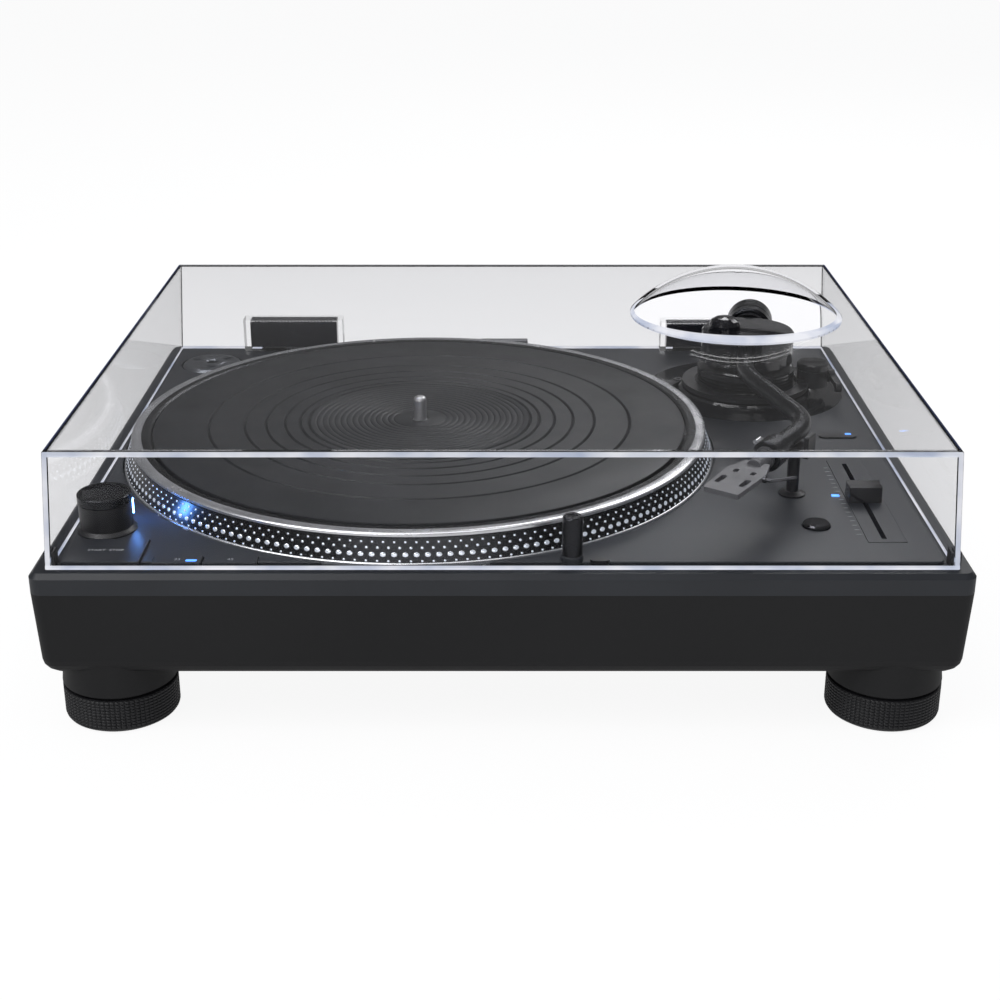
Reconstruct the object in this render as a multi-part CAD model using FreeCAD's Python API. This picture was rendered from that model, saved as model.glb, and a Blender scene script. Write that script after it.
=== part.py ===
import FreeCAD, Part
import math
import os

# Direct-drive record player with an S-shaped tonearm and a clear hinged cover.
# Millimetres. Origin: centre of the outline on the surface it stands on.
# +X is to the right, -Y is the front, +Z is up. Rest pose: cover closed, arm on its rest.

# Overall sizes
WIDTH = 453.0
DEPTH = 372.0                 # front face of the plinth to the back of the hinge barrels
FOOT_HEIGHT = 30.6            # underside of the plinth above the surface
BASE_WALL_HEIGHT = 45.2
CHASSIS_EDGE = 10.6           # visible edge of the top chassis
FIELD_RISE = 1.6              # raised deck field inside the cover
CUSHION_THICKNESS = 0.6       # rubber under the cover's edge
COVER_HEIGHT = 59.0
DOME_HEIGHT = 27.0

# Clearances
RUNNING = 0.05                # radial, shafts in bores
SLIDE_FIT = 0.08              # radial, the arm's height slide
PANEL_FIT = 0.2               # inlaid plates in their recesses
BUTTON_FIT = 0.4              # buttons in their pockets

# Plinth
WALL = 4.0
PLINTH_CORNER = 6.0
EDGE_BEVEL = 2.4
BASE_TAPER = 2.0              # how far the base draws in from its top to its bottom
BASE_ROUND = 9.0
DECK_THICKNESS = 6.6
RECESS_FLOOR = 3.0            # metal left under the platter's recess
FIELD_SIDE_GAP = 2.4          # between the cover's inner face and the deck field
FIELD_FRONT_GAP = 4.6
FIELD_CORNER = 4.0
FIELD_REAR = 13.8             # field's rear edge from the plinth's rear face
HINGE_PROUD = 2.0             # hinge barrels behind the plinth's rear face

# Cover
COVER_WALL = 2.7
COVER_SIDE_INSET = 8.0
COVER_FRONT_INSET = 5.3
COVER_REAR_INSET = 6.5
COVER_ROUND = 1.2
COVER_SIDE_DRAFT = 3.5        # how far the walls lean in from bottom to top
COVER_FRONT_DRAFT = 3.0
DOME_BASE_R = 62.8
DOME_FROM_PIVOT = (-10.5, -16.1)
CLIP_LENGTH = 8.0
CLIP_HEIGHT = 8.0
CLIP_SKIN = 0.9
CLIP_FROM_CORNER = 0.6
NOTCH_GAP = 0.5               # between a hinge's tongue and its notch in the cover

# Cover hinges
HINGE_INSET = 87.5            # from each side of the plinth
BARREL_R = 4.0
BARREL_RISE = 4.6             # hinge axis above the ledge
HINGE_PIN_R = 1.55
KNUCKLE_GAP = 0.3
CENTRE_KNUCKLE = 15.4
HINGE_WIDTH = 45.6
HOLDER_WIDTH = 57.5
HOLDER_DEPTH = 9.0
HOLDER_HEIGHT = 17.3
HOLDER_FIT = 0.2
POCKET_SIDE = 4.0
POCKET_FRONT = 2.6
POCKET_TOP = 1.7
HINGE_BLOCK_WIDTH = 46.0
HINGE_BLOCK_DEPTH = 6.0
HINGE_BLOCK_HEIGHT = 8.6

# Platter and its drive
PLATTER_R = 165.5
PLATTER_SIDE_MARGIN = 14.5    # platter rim from the plinth's left side
PLATTER_FRONT_GAP = 0.8       # platter rim from the cover's front wall
PLATTER_RIM_LOW = 2.3
PLATTER_LIFT = 1.6            # platter above its recess
PLATTER_HEIGHT = 16.5
RECESS_GAP = 1.2
RIM_FOOT_R = PLATTER_R - 0.6
RIM_TOP_R = PLATTER_R - 4.9
TOP_RING_R = PLATTER_R - 4.6
MAT_R = PLATTER_R - 16.0
MAT_THICKNESS = 3.0
MAT_HOLE_GAP = 0.4             # round the spindle's shaft
MAT_SEAT_DROP = 2.5
MAT_GROOVES = (118.7, 98.8, 86.8, 76.3, 67.7, 62.8)
MAT_GROOVE_WIDTH = 1.2
MAT_GROOVE_DEPTH = 0.7
WEB_THICKNESS = 3.5
SKIRT_INNER_R = PLATTER_R - 7.5
SPINDLE_R = 3.6
SHAFT_R = SPINDLE_R + 0.4      # the spindle's shaft below the mat's top
SHAFT_STEP = 0.5              # the step's depth below the mat's top
SPINDLE_ABOVE_MAT = 13.2
SPINDLE_BOTTOM = 48.0
HUB_R = 20.0
YOKE_R = 60.0
YOKE_THICKNESS = 3.0
YOKE_BELOW_PLATTER = 10.5
MAGNET_R = (26.0, 57.0)
MAGNET_HEIGHT = 4.5
COIL_R = (28.0, 56.0)
COIL_HEIGHT = 5.0
COIL_COUNT = 9
COIL_GAP = 1.5
STATOR_R = 72.0
STATOR_THICKNESS = 2.0
STATOR_DROP = 11.4
STATOR_POST_R = 4.0
MOTOR_HOLE_R = YOKE_R + 2.0
BEARING_R = 11.0
BEARING_FLANGE_R = 18.0
BEARING_FLANGE = 4.0
BEARING_BOTTOM = 46.0

# Tonearm
PIVOT_DISTANCE = 215.0        # spindle to the arm's upright pivot
PIVOT_BEARING = 23.8          # degrees, from +X
ARM_REST_ANGLE = 9.6          # degrees, rest direction from straight ahead, to the left
EFFECTIVE_LENGTH = 230.0
OFFSET_ANGLE = 22.0
ARM_RISE = 32.0               # arm's centre line above the deck field
TUBE_R = 5.0
TUBE_FIRST_RUN = 40.0
TUBE_FIRST_BEND = 80.0
TUBE_FIRST_TURN = 24.0
TUBE_SECOND_BEND = 40.0
SHELL_OVERHANG = 52.0         # tube end to the stylus point
REAR_SHAFT = 62.0
BLOCK_SIZE = (18.0, 24.0, 11.0)
DRUM_R = 28.0
DRUM_INNER_R = 24.0
DRUM_BELOW = 9.0
DRUM_ABOVE = 11.0
DRUM_FLOOR = 2.0
DRUM_CAP = 2.5
DRUM_WINDOW = (-9.0, 9.0)
GIMBAL_SHAFT_R = 4.0
GIMBAL_SHAFT = 15.0
PIVOT_SCREW_R = 2.0
CUP_DEPTH = 1.6               # bearing cups in the pivot block
BOSS_R = 9.5
BOSS_OFFSET = -14.0
BOSS_HEIGHT = 6.0
RING_WIDTH = 4.5
RING_R = 12.0
RING_START = 30.0
WEIGHT_START = 35.0
WEIGHT_LENGTH = 25.0
WEIGHT_R = 14.4
COLLAR_R = 7.5
COLLAR_LENGTH = 14.0
COLLAR_BACK = 2.0
NECK_R = 4.0
SHELL_THICKNESS = 2.6
SHELL_REAR = -30.0
SHELL_FRONT = (14.0, 15.6)
SHELL_HALF = (6.5, 10.5, 9.5)
SLOT_SPACING = 12.7
SLOT_LENGTH = 10.5
SLOT_WIDTH = 3.2
LIFT_ROD_R = 0.9

# Arm base
PANEL_R = 60.0
PANEL_OFFSET = (1.0, 9.0)
PANEL_THICKNESS = 1.4
PANEL_INLAY = 1.2
PEDESTAL_R = 34.37
COLUMN_WALL = 3.55
COLUMN_R = PEDESTAL_R + SLIDE_FIT + COLUMN_WALL
COLUMN_BOTTOM = 62.0
PEDESTAL_BOTTOM = 70.0
HEIGHT_RING_WIDTH = 6.05
HEIGHT_RING_R = PEDESTAL_R + SLIDE_FIT + HEIGHT_RING_WIDTH
PANEL_RING_RISE = 0.6
PANEL_RING = (5.5, 8.5)       # the panel's raised ring, outside the height ring
HEIGHT_RING_HEIGHT = 5.4
RING_NOTCHES = 24
PEDESTAL_RISE = 6.3           # top of the pedestal's slide above the panel
POD_PLATE = 3.0
POD_PLATE_R = PEDESTAL_R + 4.13
POD_NECK_R = PEDESTAL_R - 3.37
POD_OFFSET = POD_PLATE_R + 2.8
POD_R = 9.5
POD_HEIGHT = 10.0
RIB_R = POD_NECK_R - 1.5
RIB_GROOVE_R = RIB_R - 1.7
RIB_COUNT = 5
RIB_BAND = 9.88               # height of the ribbed band
PEDESTAL_TOP_R = 25.0
PEDESTAL_GAP = 0.5            # between the pedestal's top and the gimbal
COLUMN_SKIN = 3.0
CROWN = 2.5                   # metal under the pedestal's shoulder
DIAL_R = 9.7
DIAL_HEIGHT = 4.3
DIAL_GAP = 0.2
DIAL_STUB_R = 3.0
DIAL_FLUTES = 20
LIFT_RADIUS = POD_NECK_R + 4.0
LIFT_POST_ANGLE = -78.0
LIFT_POST_R = 2.4
LIFT_GUIDE_WALL = 1.6
LIFT_GUIDE_RISE = 3.5
LIFT_ARC = (-145.0, -72.0)
LIFT_ARC_WIDTH = 4.0
LIFT_ARC_TOP = 10.5           # below the arm's centre line
LIFT_ARC_THICKNESS = 2.8
CUE_LENGTH = 26.0
CUE_THICKNESS = 3.7
CUE_GAP = 0.3                 # between the lever and the pod
CUE_SHAFT_R = 1.5
CUE_SHAFT = 4.0               # depth of the cross shaft in the pod
CUE_HUB_R = 4.0
CUE_TIP_R = 3.0
LOCK_RADIUS = HEIGHT_RING_R + 3.5
LOCK_ANGLE = 152.0
LOCK_LENGTH = 16.0
LOCK_PIN_R = 1.2
LOCK_PIN_HEIGHT = 3.2
LOCK_THICKNESS = 2.4
LOCK_HUB_R = 3.2
LOCK_WIDTH = 5.2
LOCK_REST_TURN = 235.0        # degrees, from +X

# Arm rest
REST_ALONG = 158.0
REST_ASIDE = 30.0
REST_POST_R = 3.2
REST_DROP = 0.3               # air under the tube
REST_WIDTH = 10.0
CRADLE_HEIGHT = 4.0
PRONG_SIDE = 9.2              # outer face, from the tube's line
PRONG_THICKNESS = 2.6
PRONG_RISE = 6.3
CLAMP_SIDE = -8.2             # the clamp's axis, from the tube's line
CLAMP_WIDTH = 5.8
CLAMP_LENGTH = 13.0
CLAMP_BARREL_R = 1.9
CLAMP_PIN_R = 0.8
EAR_GAP = 0.3

# Controls, measured from the plinth's left or right side and its front
TOWER_AT = (27.6, 53.5)
TOWER_R = 13.2
TOWER_FLARE_R = 15.0
TOWER_HEIGHT = 15.0
DIAL_CAP_R = 13.5
DIAL_CAP_HEIGHT = 4.5
DIAL_CAP_GAP = 0.5
DIAL_SHAFT_R = 4.0
DIAL_SHAFT = 3.0              # shaft above the tower
DIAL_BORE_DEPTH = 2.7
WINDOW_WIDTH = 8.0
WINDOW_HEIGHT = 7.9
WINDOW_DEPTH = 3.0
WINDOW_PROUD = 0.5
START_BUTTON = (14.6, 52.1, 10.2, 38.0)
BUTTON_33 = (58.3, 81.5, 10.2, 18.5)
BUTTON_45 = (82.5, 108.5, 10.2, 18.5)
START_HEIGHT = 1.1
SPEED_BUTTON_HEIGHT = 0.6
BUTTON_THICKNESS = 3.6
POCKET_DEPTH = 4.4
STEM_R = 2.0
STEM_LENGTH = 6.0
STEM_GUIDE_R = 4.5
RESET_AT = (67.7, 57.1)
RESET_R = 7.0
RESET_RISE = 2.0
RESET_THICKNESS = 4.6
DOUBLE_AT = (33.0, 184.5)
DOUBLE_SIZE = (21.5, 7.0)
DOUBLE_RISE = 0.8
LAMP_FROM_SPINDLE = 80.1
LAMP_FROM_FRONT = 15.6
LAMP_R = 5.0
LAMP_TOP = 23.0
LAMP_LENGTH = 27.0
LAMP_COLLAR_R = 5.6
LAMP_COLLAR_HEIGHT = 3.0
LAMP_GUIDE_R = 6.5
LAMP_GUIDE_BOTTOM = 61.0
LAMP_BUTTON_ASIDE = 13.2      # from the lamp
LAMP_BUTTON_SIZE = (9.0, 5.0)
LAMP_BUTTON_RISE = 1.0
LAMP_BUTTON_FROM_FRONT = 14.0
PITCH_FRAME = (26.5, 45.7, 36.0, 149.0)
PITCH_SLOT = (37.0, 40.0, 144.0)
PITCH_SLOT_WIDTH = 2.6
PITCH_KNOB = (17.0, 12.0, 9.0)
PITCH_PLATE_THICKNESS = 1.0
PITCH_STEM = (2.2, 4.0)
PITCH_STEM_FOOT = 4.0         # the stem's end above the track's underside
TRACK_SIZE = (11.0, 11.4)
ADAPTER_AT = (36.9, 47.0)     # from the left side and from the plinth's rear face
ADAPTER_R = 19.2
ADAPTER_HEIGHT = 7.6
ADAPTER_GAP = 1.0
ADAPTER_SINK = 5.6
ADAPTER_PAD = 3.0
RECESS_THROW = 12.0           # centres of the circles that bound the adapter's recesses
RECESS_CIRCLE = 9.4
RECESS_SPREAD = 74.0          # degrees between the two circles of a recess
RECESS_DEPTH = 1.4

# Feet
FOOT_INSET = 33.5
FOOT_FRONT = 29.0
FOOT_R = 28.6
FOOT_KNOB = 18.0
FOOT_NECK_R = 26.0
FOOT_NECK = 1.6
FOOT_CHAMFER = 2.0
FOOT_GAP = 0.2
FOOT_BOSS_NARROWING = 2.4     # the boss above the foot narrows towards its top
FOOT_BOSS_TOP = 50.0
FOOT_BOSS_SLOPE_TOP = 42.0
STUD_R = 4.0
STUD_TOP = 44.0

# Rear and inside
TERMINAL_POCKET = (74.5, 170.5)   # from the right side
TERMINAL_Z = (46.0, 72.0)
TERMINAL_DEPTH = 13.0
POCKET_WALL = 3.0
TERMINAL_PLATE = 2.0
JACK_R = 4.15
JACK_LENGTH = 9.0
JACK_HOLE_R = 1.7
JACK_NUT_R = 6.2
JACK_NUT = 2.0
JACK_SPACING = 18.0
JACK_FIRST = 24.0             # from the pocket's left wall
JACK_Z = 58.0
EARTH_FROM_JACK = 30.0
EARTH_R = 2.0
EARTH_KNOB_R = 5.0
EARTH_KNOB = 6.5
EARTH_GAP = 0.3
INLET_AT = 86.5               # from the left side
INLET_SIZE = (27.0, 19.6)
INLET_MOUTH = (23.2, 15.8)
INLET_DEPTH = 25.0
INLET_MOUTH_DEPTH = 17.0
INLET_Z = 58.0
INLET_BEVEL = 4.0
INLET_FLANGE = 2.5
INLET_PINS = ((-7.0, -1.5), (0.0, 2.5), (7.0, -1.5))
INLET_PIN_LENGTH = 11.0
SCREW_R = 2.0
SCREW_HEAD_R = 4.0
SCREW_HEAD = 2.0
SCREW_LENGTH = 18.0
SCREW_BOSS_R = 6.0
SCREW_SIDE = 116.5
SCREW_EDGE = 26.0
STANDOFF = 3.8
STANDOFF_R = 4.0
BOARD_THICKNESS = 1.6
POST_INSET = 6.0

NAMEPLATE = (1.8, 31.0, 5.0, 7.5)   # centre, width, thickness and height of the bare plate

# Levels that follow from the sizes above
BASE_BOTTOM = FOOT_HEIGHT
SPLIT_Z = BASE_BOTTOM + BASE_WALL_HEIGHT
LEDGE_Z = SPLIT_Z + CHASSIS_EDGE
FIELD_Z = LEDGE_Z + FIELD_RISE
CAVITY_TOP = FIELD_Z - DECK_THICKNESS
RECESS_Z = CAVITY_TOP + RECESS_FLOOR
COVER_BOTTOM = LEDGE_Z + CUSHION_THICKNESS
COVER_TOP = COVER_BOTTOM + COVER_HEIGHT
FLOOR_Z = BASE_BOTTOM + WALL
PLATTER_Z = RECESS_Z + PLATTER_LIFT
PLATTER_TOP = PLATTER_Z + PLATTER_HEIGHT
MAT_SEAT = PLATTER_TOP - MAT_SEAT_DROP
MAT_TOP = MAT_SEAT + MAT_THICKNESS
WEB_Z = MAT_SEAT - WEB_THICKNESS
ARM_Z = FIELD_Z + ARM_RISE
PANEL_Z = FIELD_Z - PANEL_INLAY
PANEL_TOP = PANEL_Z + PANEL_THICKNESS
SLIDE_TOP = PANEL_TOP + PEDESTAL_RISE
CUE_Z = SLIDE_TOP + POD_HEIGHT / 2 + 0.5

LEFT = -WIDTH / 2
RIGHT = WIDTH / 2
FRONT = -DEPTH / 2
REAR = DEPTH / 2 - HINGE_PROUD
COVER_X = RIGHT - COVER_SIDE_INSET
COVER_FRONT = FRONT + COVER_FRONT_INSET
COVER_REAR = REAR - COVER_REAR_INSET
FIELD_X = COVER_X - COVER_WALL - FIELD_SIDE_GAP
FIELD_FRONT = COVER_FRONT + COVER_WALL + FIELD_FRONT_GAP
FIELD_BACK = REAR - FIELD_REAR
SPINDLE_X = LEFT + PLATTER_SIDE_MARGIN + PLATTER_R
SPINDLE_Y = COVER_FRONT + COVER_WALL + PLATTER_FRONT_GAP + PLATTER_R
RECESS_R = PLATTER_R + RECESS_GAP
PIVOT_X = SPINDLE_X + PIVOT_DISTANCE * math.cos(math.radians(PIVOT_BEARING))
PIVOT_Y = SPINDLE_Y + PIVOT_DISTANCE * math.sin(math.radians(PIVOT_BEARING))
ARM_ANGLE = -90.0 - ARM_REST_ANGLE
HINGE_Y = REAR + HINGE_PROUD - BARREL_R
HINGE_Z = LEDGE_Z + BARREL_RISE
HINGE_XS = (LEFT + HINGE_INSET, RIGHT - HINGE_INSET)
DOME_X = PIVOT_X + DOME_FROM_PIVOT[0]
DOME_Y = PIVOT_Y + DOME_FROM_PIVOT[1]
LAMP_X = SPINDLE_X + LAMP_FROM_SPINDLE
LAMP_Y = FRONT + LAMP_FROM_FRONT

OVER = 1.0                    # how far cutting shapes run past what they cut
Z_AXIS = FreeCAD.Vector(0, 0, 1)


def vec(x, y, z=0.0):
    return FreeCAD.Vector(x, y, z)


def box(x0, x1, y0, y1, z0, z1):
    return Part.makeBox(x1 - x0, y1 - y0, z1 - z0, vec(x0, y0, z0))


def cylinder(x, y, z0, z1, r):
    return Part.makeCylinder(r, z1 - z0, vec(x, y, z0))


def rod(start, direction, length, r):
    return Part.makeCylinder(r, length, vec(*start), vec(*direction))


def tube(x, y, z0, z1, outer, inner):
    return cylinder(x, y, z0, z1, outer).cut(cylinder(x, y, z0 - OVER, z1 + OVER, inner))


def turned(x, y, profile):
    """A solid of revolution about the upright line at (x, y); profile holds (radius, z)."""
    wire = Part.makePolygon([vec(r, 0, z) for r, z in profile + profile[:1]])
    solid = Part.Face(wire).revolve(vec(0, 0), Z_AXIS, 360)
    solid.translate(vec(x, y))
    return solid


def prism(points, z0, z1):
    wire = Part.makePolygon([vec(x, y, z0) for x, y in points + points[:1]])
    return Part.Face(wire).extrude(vec(0, 0, z1 - z0))


def rounded_wire(x0, x1, y0, y1, z, r):
    """A rectangle with round corners, as one wire of four lines and four arcs."""
    edges = []
    corners = ((x1 - r, y1 - r, 0), (x0 + r, y1 - r, 90), (x0 + r, y0 + r, 180), (x1 - r, y0 + r, 270))
    ends = []
    for cx, cy, start in corners:
        angles = [math.radians(start + a) for a in (0, 45, 90)]
        points = [vec(cx + r * math.cos(a), cy + r * math.sin(a), z) for a in angles]
        edges.append(Part.Arc(*points).toShape())
        ends.append((points[0], points[2]))
    sides = []
    for i in range(4):
        sides.append(Part.LineSegment(ends[i][1], ends[(i + 1) % 4][0]).toShape())
    ordered = []
    for arc, side in zip(edges, sides):
        ordered += [arc, side]
    return Part.Wire(ordered)


def rounded_plate(x0, x1, y0, y1, z0, z1, r):
    return Part.Face(rounded_wire(x0, x1, y0, y1, z0, r)).extrude(vec(0, 0, z1 - z0))


def pill(x, y, z0, z1, length, width):
    """A plate with fully round ends, long along X."""
    r = width / 2
    half = length / 2 - r
    body = box(x - half, x + half, y - r, y + r, z0, z1)
    return body.fuse([cylinder(x - half, y, z0, z1, r), cylinder(x + half, y, z0, z1, r)]).removeSplitter()


def fuse(first, *rest):
    return first.fuse(list(rest)).removeSplitter()


def cut(base, *tools):
    return base.cut(list(tools))


def edges_at(shape, z):
    """The edges that lie wholly in the level plane at height z."""
    found = []
    for edge in shape.Edges:
        bb = edge.BoundBox
        if abs(bb.ZMin - z) < 0.001 and abs(bb.ZMax - z) < 0.001:
            found.append(edge)
    return found


def upright_edges(shape):
    found = []
    for edge in shape.Edges:
        bb = edge.BoundBox
        if bb.XLength < 0.001 and bb.YLength < 0.001:
            found.append(edge)
    return found


def in_arm_frame(shape):
    """Places a shape drawn along +X from the pivot onto the arm at rest."""
    placed = shape.copy()
    placed.rotate(vec(0, 0), Z_AXIS, ARM_ANGLE)
    placed.translate(vec(PIVOT_X, PIVOT_Y))
    return placed


def polar(radius, degrees):
    """A point round the arm's pivot."""
    a = math.radians(degrees)
    return PIVOT_X + radius * math.cos(a), PIVOT_Y + radius * math.sin(a)


def save(node, *solids):
    shape = solids[0] if len(solids) == 1 else Part.makeCompound(list(solids))
    for solid in shape.Solids:
        if not solid.isValid() or solid.Volume <= 0:
            print("check", node, solid.isValid(), solid.Volume)
    shape.exportStep("parts/" + node + ".step")
    print(node, len(shape.Solids), "solids", round(shape.Volume), "mm3")


# Plinth

def screw_places():
    xs = (LEFT + SCREW_SIDE, 0.0, RIGHT - SCREW_SIDE)
    return [(x, y) for x in xs for y in (FRONT + SCREW_EDGE, REAR - SCREW_EDGE + 2.0)]


def foot_places():
    xs = (("left", LEFT + FOOT_INSET), ("right", RIGHT - FOOT_INSET))
    ys = (("front", FRONT + FOOT_FRONT), ("rear", REAR - FOOT_FRONT))
    return [("foot_" + yn + "_" + xn, x, y) for yn, y in ys for xn, x in xs]


def button_box(size, z0, z1, margin=0.0):
    x0, x1, y0, y1 = size
    return box(LEFT + x0 - margin, LEFT + x1 + margin, FRONT + y0 - margin, FRONT + y1 + margin, z0, z1)


def button_centre(size):
    return LEFT + (size[0] + size[1]) / 2, FRONT + (size[2] + size[3]) / 2


PRESS_BUTTONS = {
    "start": button_centre(START_BUTTON),
    "33": button_centre(BUTTON_33),
    "45": button_centre(BUTTON_45),
    "reset": (RIGHT - RESET_AT[0], FRONT + RESET_AT[1]),
    "double": (RIGHT - DOUBLE_AT[0], FRONT + DOUBLE_AT[1]),
    "lamp": (LAMP_X + LAMP_BUTTON_ASIDE, FRONT + LAMP_BUTTON_FROM_FRONT),
}
POCKET_Z = FIELD_Z - POCKET_DEPTH


def panel_disc(z0, z1, margin):
    """The arm's round panel, cut away where the platter's recess passes."""
    x, y = PIVOT_X + PANEL_OFFSET[0], PIVOT_Y + PANEL_OFFSET[1]
    disc = cylinder(x, y, z0, z1, PANEL_R + margin)
    return disc.cut(cylinder(SPINDLE_X, SPINDLE_Y, z0 - OVER, z1 + OVER, RECESS_R + 1.4 - margin))


def top_chassis():
    edge = rounded_plate(LEFT, RIGHT, FRONT, REAR, SPLIT_Z, LEDGE_Z, PLINTH_CORNER)
    edge = edge.makeChamfer(EDGE_BEVEL, edges_at(edge, LEDGE_Z))
    field = rounded_plate(-FIELD_X, FIELD_X, FIELD_FRONT, FIELD_BACK, SPLIT_Z, FIELD_Z, FIELD_CORNER)
    field = field.makeChamfer(0.4, edges_at(field, FIELD_Z))
    body = fuse(edge, field)
    cavity = rounded_plate(LEFT + WALL, RIGHT - WALL, FRONT + WALL, REAR - WALL,
                           SPLIT_Z - OVER, CAVITY_TOP, PLINTH_CORNER / 2)
    body = body.cut(cavity)
    adapter_x, adapter_y = LEFT + ADAPTER_AT[0], REAR - ADAPTER_AT[1]
    adapter_z = FIELD_Z - ADAPTER_SINK
    added = [cylinder(adapter_x, adapter_y, adapter_z - ADAPTER_PAD, CAVITY_TOP + OVER,
                      ADAPTER_R + ADAPTER_GAP + 2.0)]
    for x, y in screw_places():
        added.append(cylinder(x, y, FLOOR_Z + FOOT_GAP, CAVITY_TOP + OVER, SCREW_BOSS_R))
    for x in HINGE_XS:
        added.append(box(x - HINGE_BLOCK_WIDTH / 2 - WALL * 2, x + HINGE_BLOCK_WIDTH / 2 + WALL * 2,
                         REAR - HINGE_BLOCK_DEPTH * 2, REAR - WALL + OVER, SPLIT_Z, CAVITY_TOP + OVER))
    added.append(cylinder(LAMP_X, LAMP_Y, LAMP_GUIDE_BOTTOM, CAVITY_TOP + OVER, LAMP_GUIDE_R))
    added.append(turned(LAMP_X, LAMP_Y, [(0, FIELD_Z - OVER), (LAMP_COLLAR_R, FIELD_Z - OVER),
                                         (LAMP_COLLAR_R, FIELD_Z + LAMP_COLLAR_HEIGHT - 0.5),
                                         (LAMP_COLLAR_R - 0.3, FIELD_Z + LAMP_COLLAR_HEIGHT),
                                         (0, FIELD_Z + LAMP_COLLAR_HEIGHT)]))
    for x, y in PRESS_BUTTONS.values():
        added.append(cylinder(x, y, CAVITY_TOP - STEM_LENGTH / 2, CAVITY_TOP + OVER, STEM_GUIDE_R))
    body = fuse(body, *added)
    top = FIELD_Z + OVER
    removed = [
        cylinder(SPINDLE_X, SPINDLE_Y, RECESS_Z, top, RECESS_R),
        cylinder(SPINDLE_X, SPINDLE_Y, SPLIT_Z, top, MOTOR_HOLE_R),
        cylinder(PIVOT_X, PIVOT_Y, SPLIT_Z, top, COLUMN_R + 0.5),
        panel_disc(PANEL_Z, top, PANEL_FIT),
        cylinder(adapter_x, adapter_y, adapter_z, top, ADAPTER_R + ADAPTER_GAP),
        button_box(START_BUTTON, POCKET_Z, top, BUTTON_FIT),
        button_box((BUTTON_33[0], BUTTON_45[1], BUTTON_33[2], BUTTON_33[3]), POCKET_Z, top, BUTTON_FIT),
        cylinder(*PRESS_BUTTONS["reset"], POCKET_Z, top, RESET_R + BUTTON_FIT),
        pill(*PRESS_BUTTONS["double"], POCKET_Z, top,
             DOUBLE_SIZE[0] + 2 * BUTTON_FIT, DOUBLE_SIZE[1] + 2 * BUTTON_FIT),
        pill(*PRESS_BUTTONS["lamp"], POCKET_Z, top,
             LAMP_BUTTON_SIZE[0] + 2 * BUTTON_FIT, LAMP_BUTTON_SIZE[1] + 2 * BUTTON_FIT),
        cylinder(LAMP_X, LAMP_Y, LAMP_GUIDE_BOTTOM + 1.0, top + LAMP_COLLAR_HEIGHT, LAMP_R + RUNNING),
        pitch_frame(FIELD_Z - PITCH_PLATE_THICKNESS + 0.2, top, PANEL_FIT),
        pitch_slot(SPLIT_Z, top, 0.2),
    ]
    for x, y in PRESS_BUTTONS.values():
        removed.append(cylinder(x, y, SPLIT_Z - OVER, top, STEM_R + RUNNING))
    for x, y in screw_places():
        removed.append(cylinder(x, y, FLOOR_Z - OVER, FLOOR_Z + SCREW_LENGTH, SCREW_R + RUNNING))
    for x in HINGE_XS:
        half = HINGE_BLOCK_WIDTH / 2 + RUNNING
        removed.append(box(x - half, x + half, REAR - HINGE_BLOCK_DEPTH - RUNNING, REAR + OVER,
                           LEDGE_Z - HINGE_BLOCK_HEIGHT, LEDGE_Z + OVER))
    return cut(body, *removed)


def base_section(z, inward, round_r=0.0):
    """The base's outline at a height, drawn in by its taper, a wall and its rounded lower edge."""
    draw = BASE_TAPER * (SPLIT_Z - z) / BASE_WALL_HEIGHT
    low = BASE_BOTTOM + round_r - z
    if low > 0:
        draw += round_r - math.sqrt(round_r ** 2 - low ** 2)
    return rounded_wire(LEFT + draw + inward, RIGHT - draw - inward, FRONT + draw + inward,
                        REAR - inward, z, PLINTH_CORNER - min(inward, 3.0))


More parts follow.
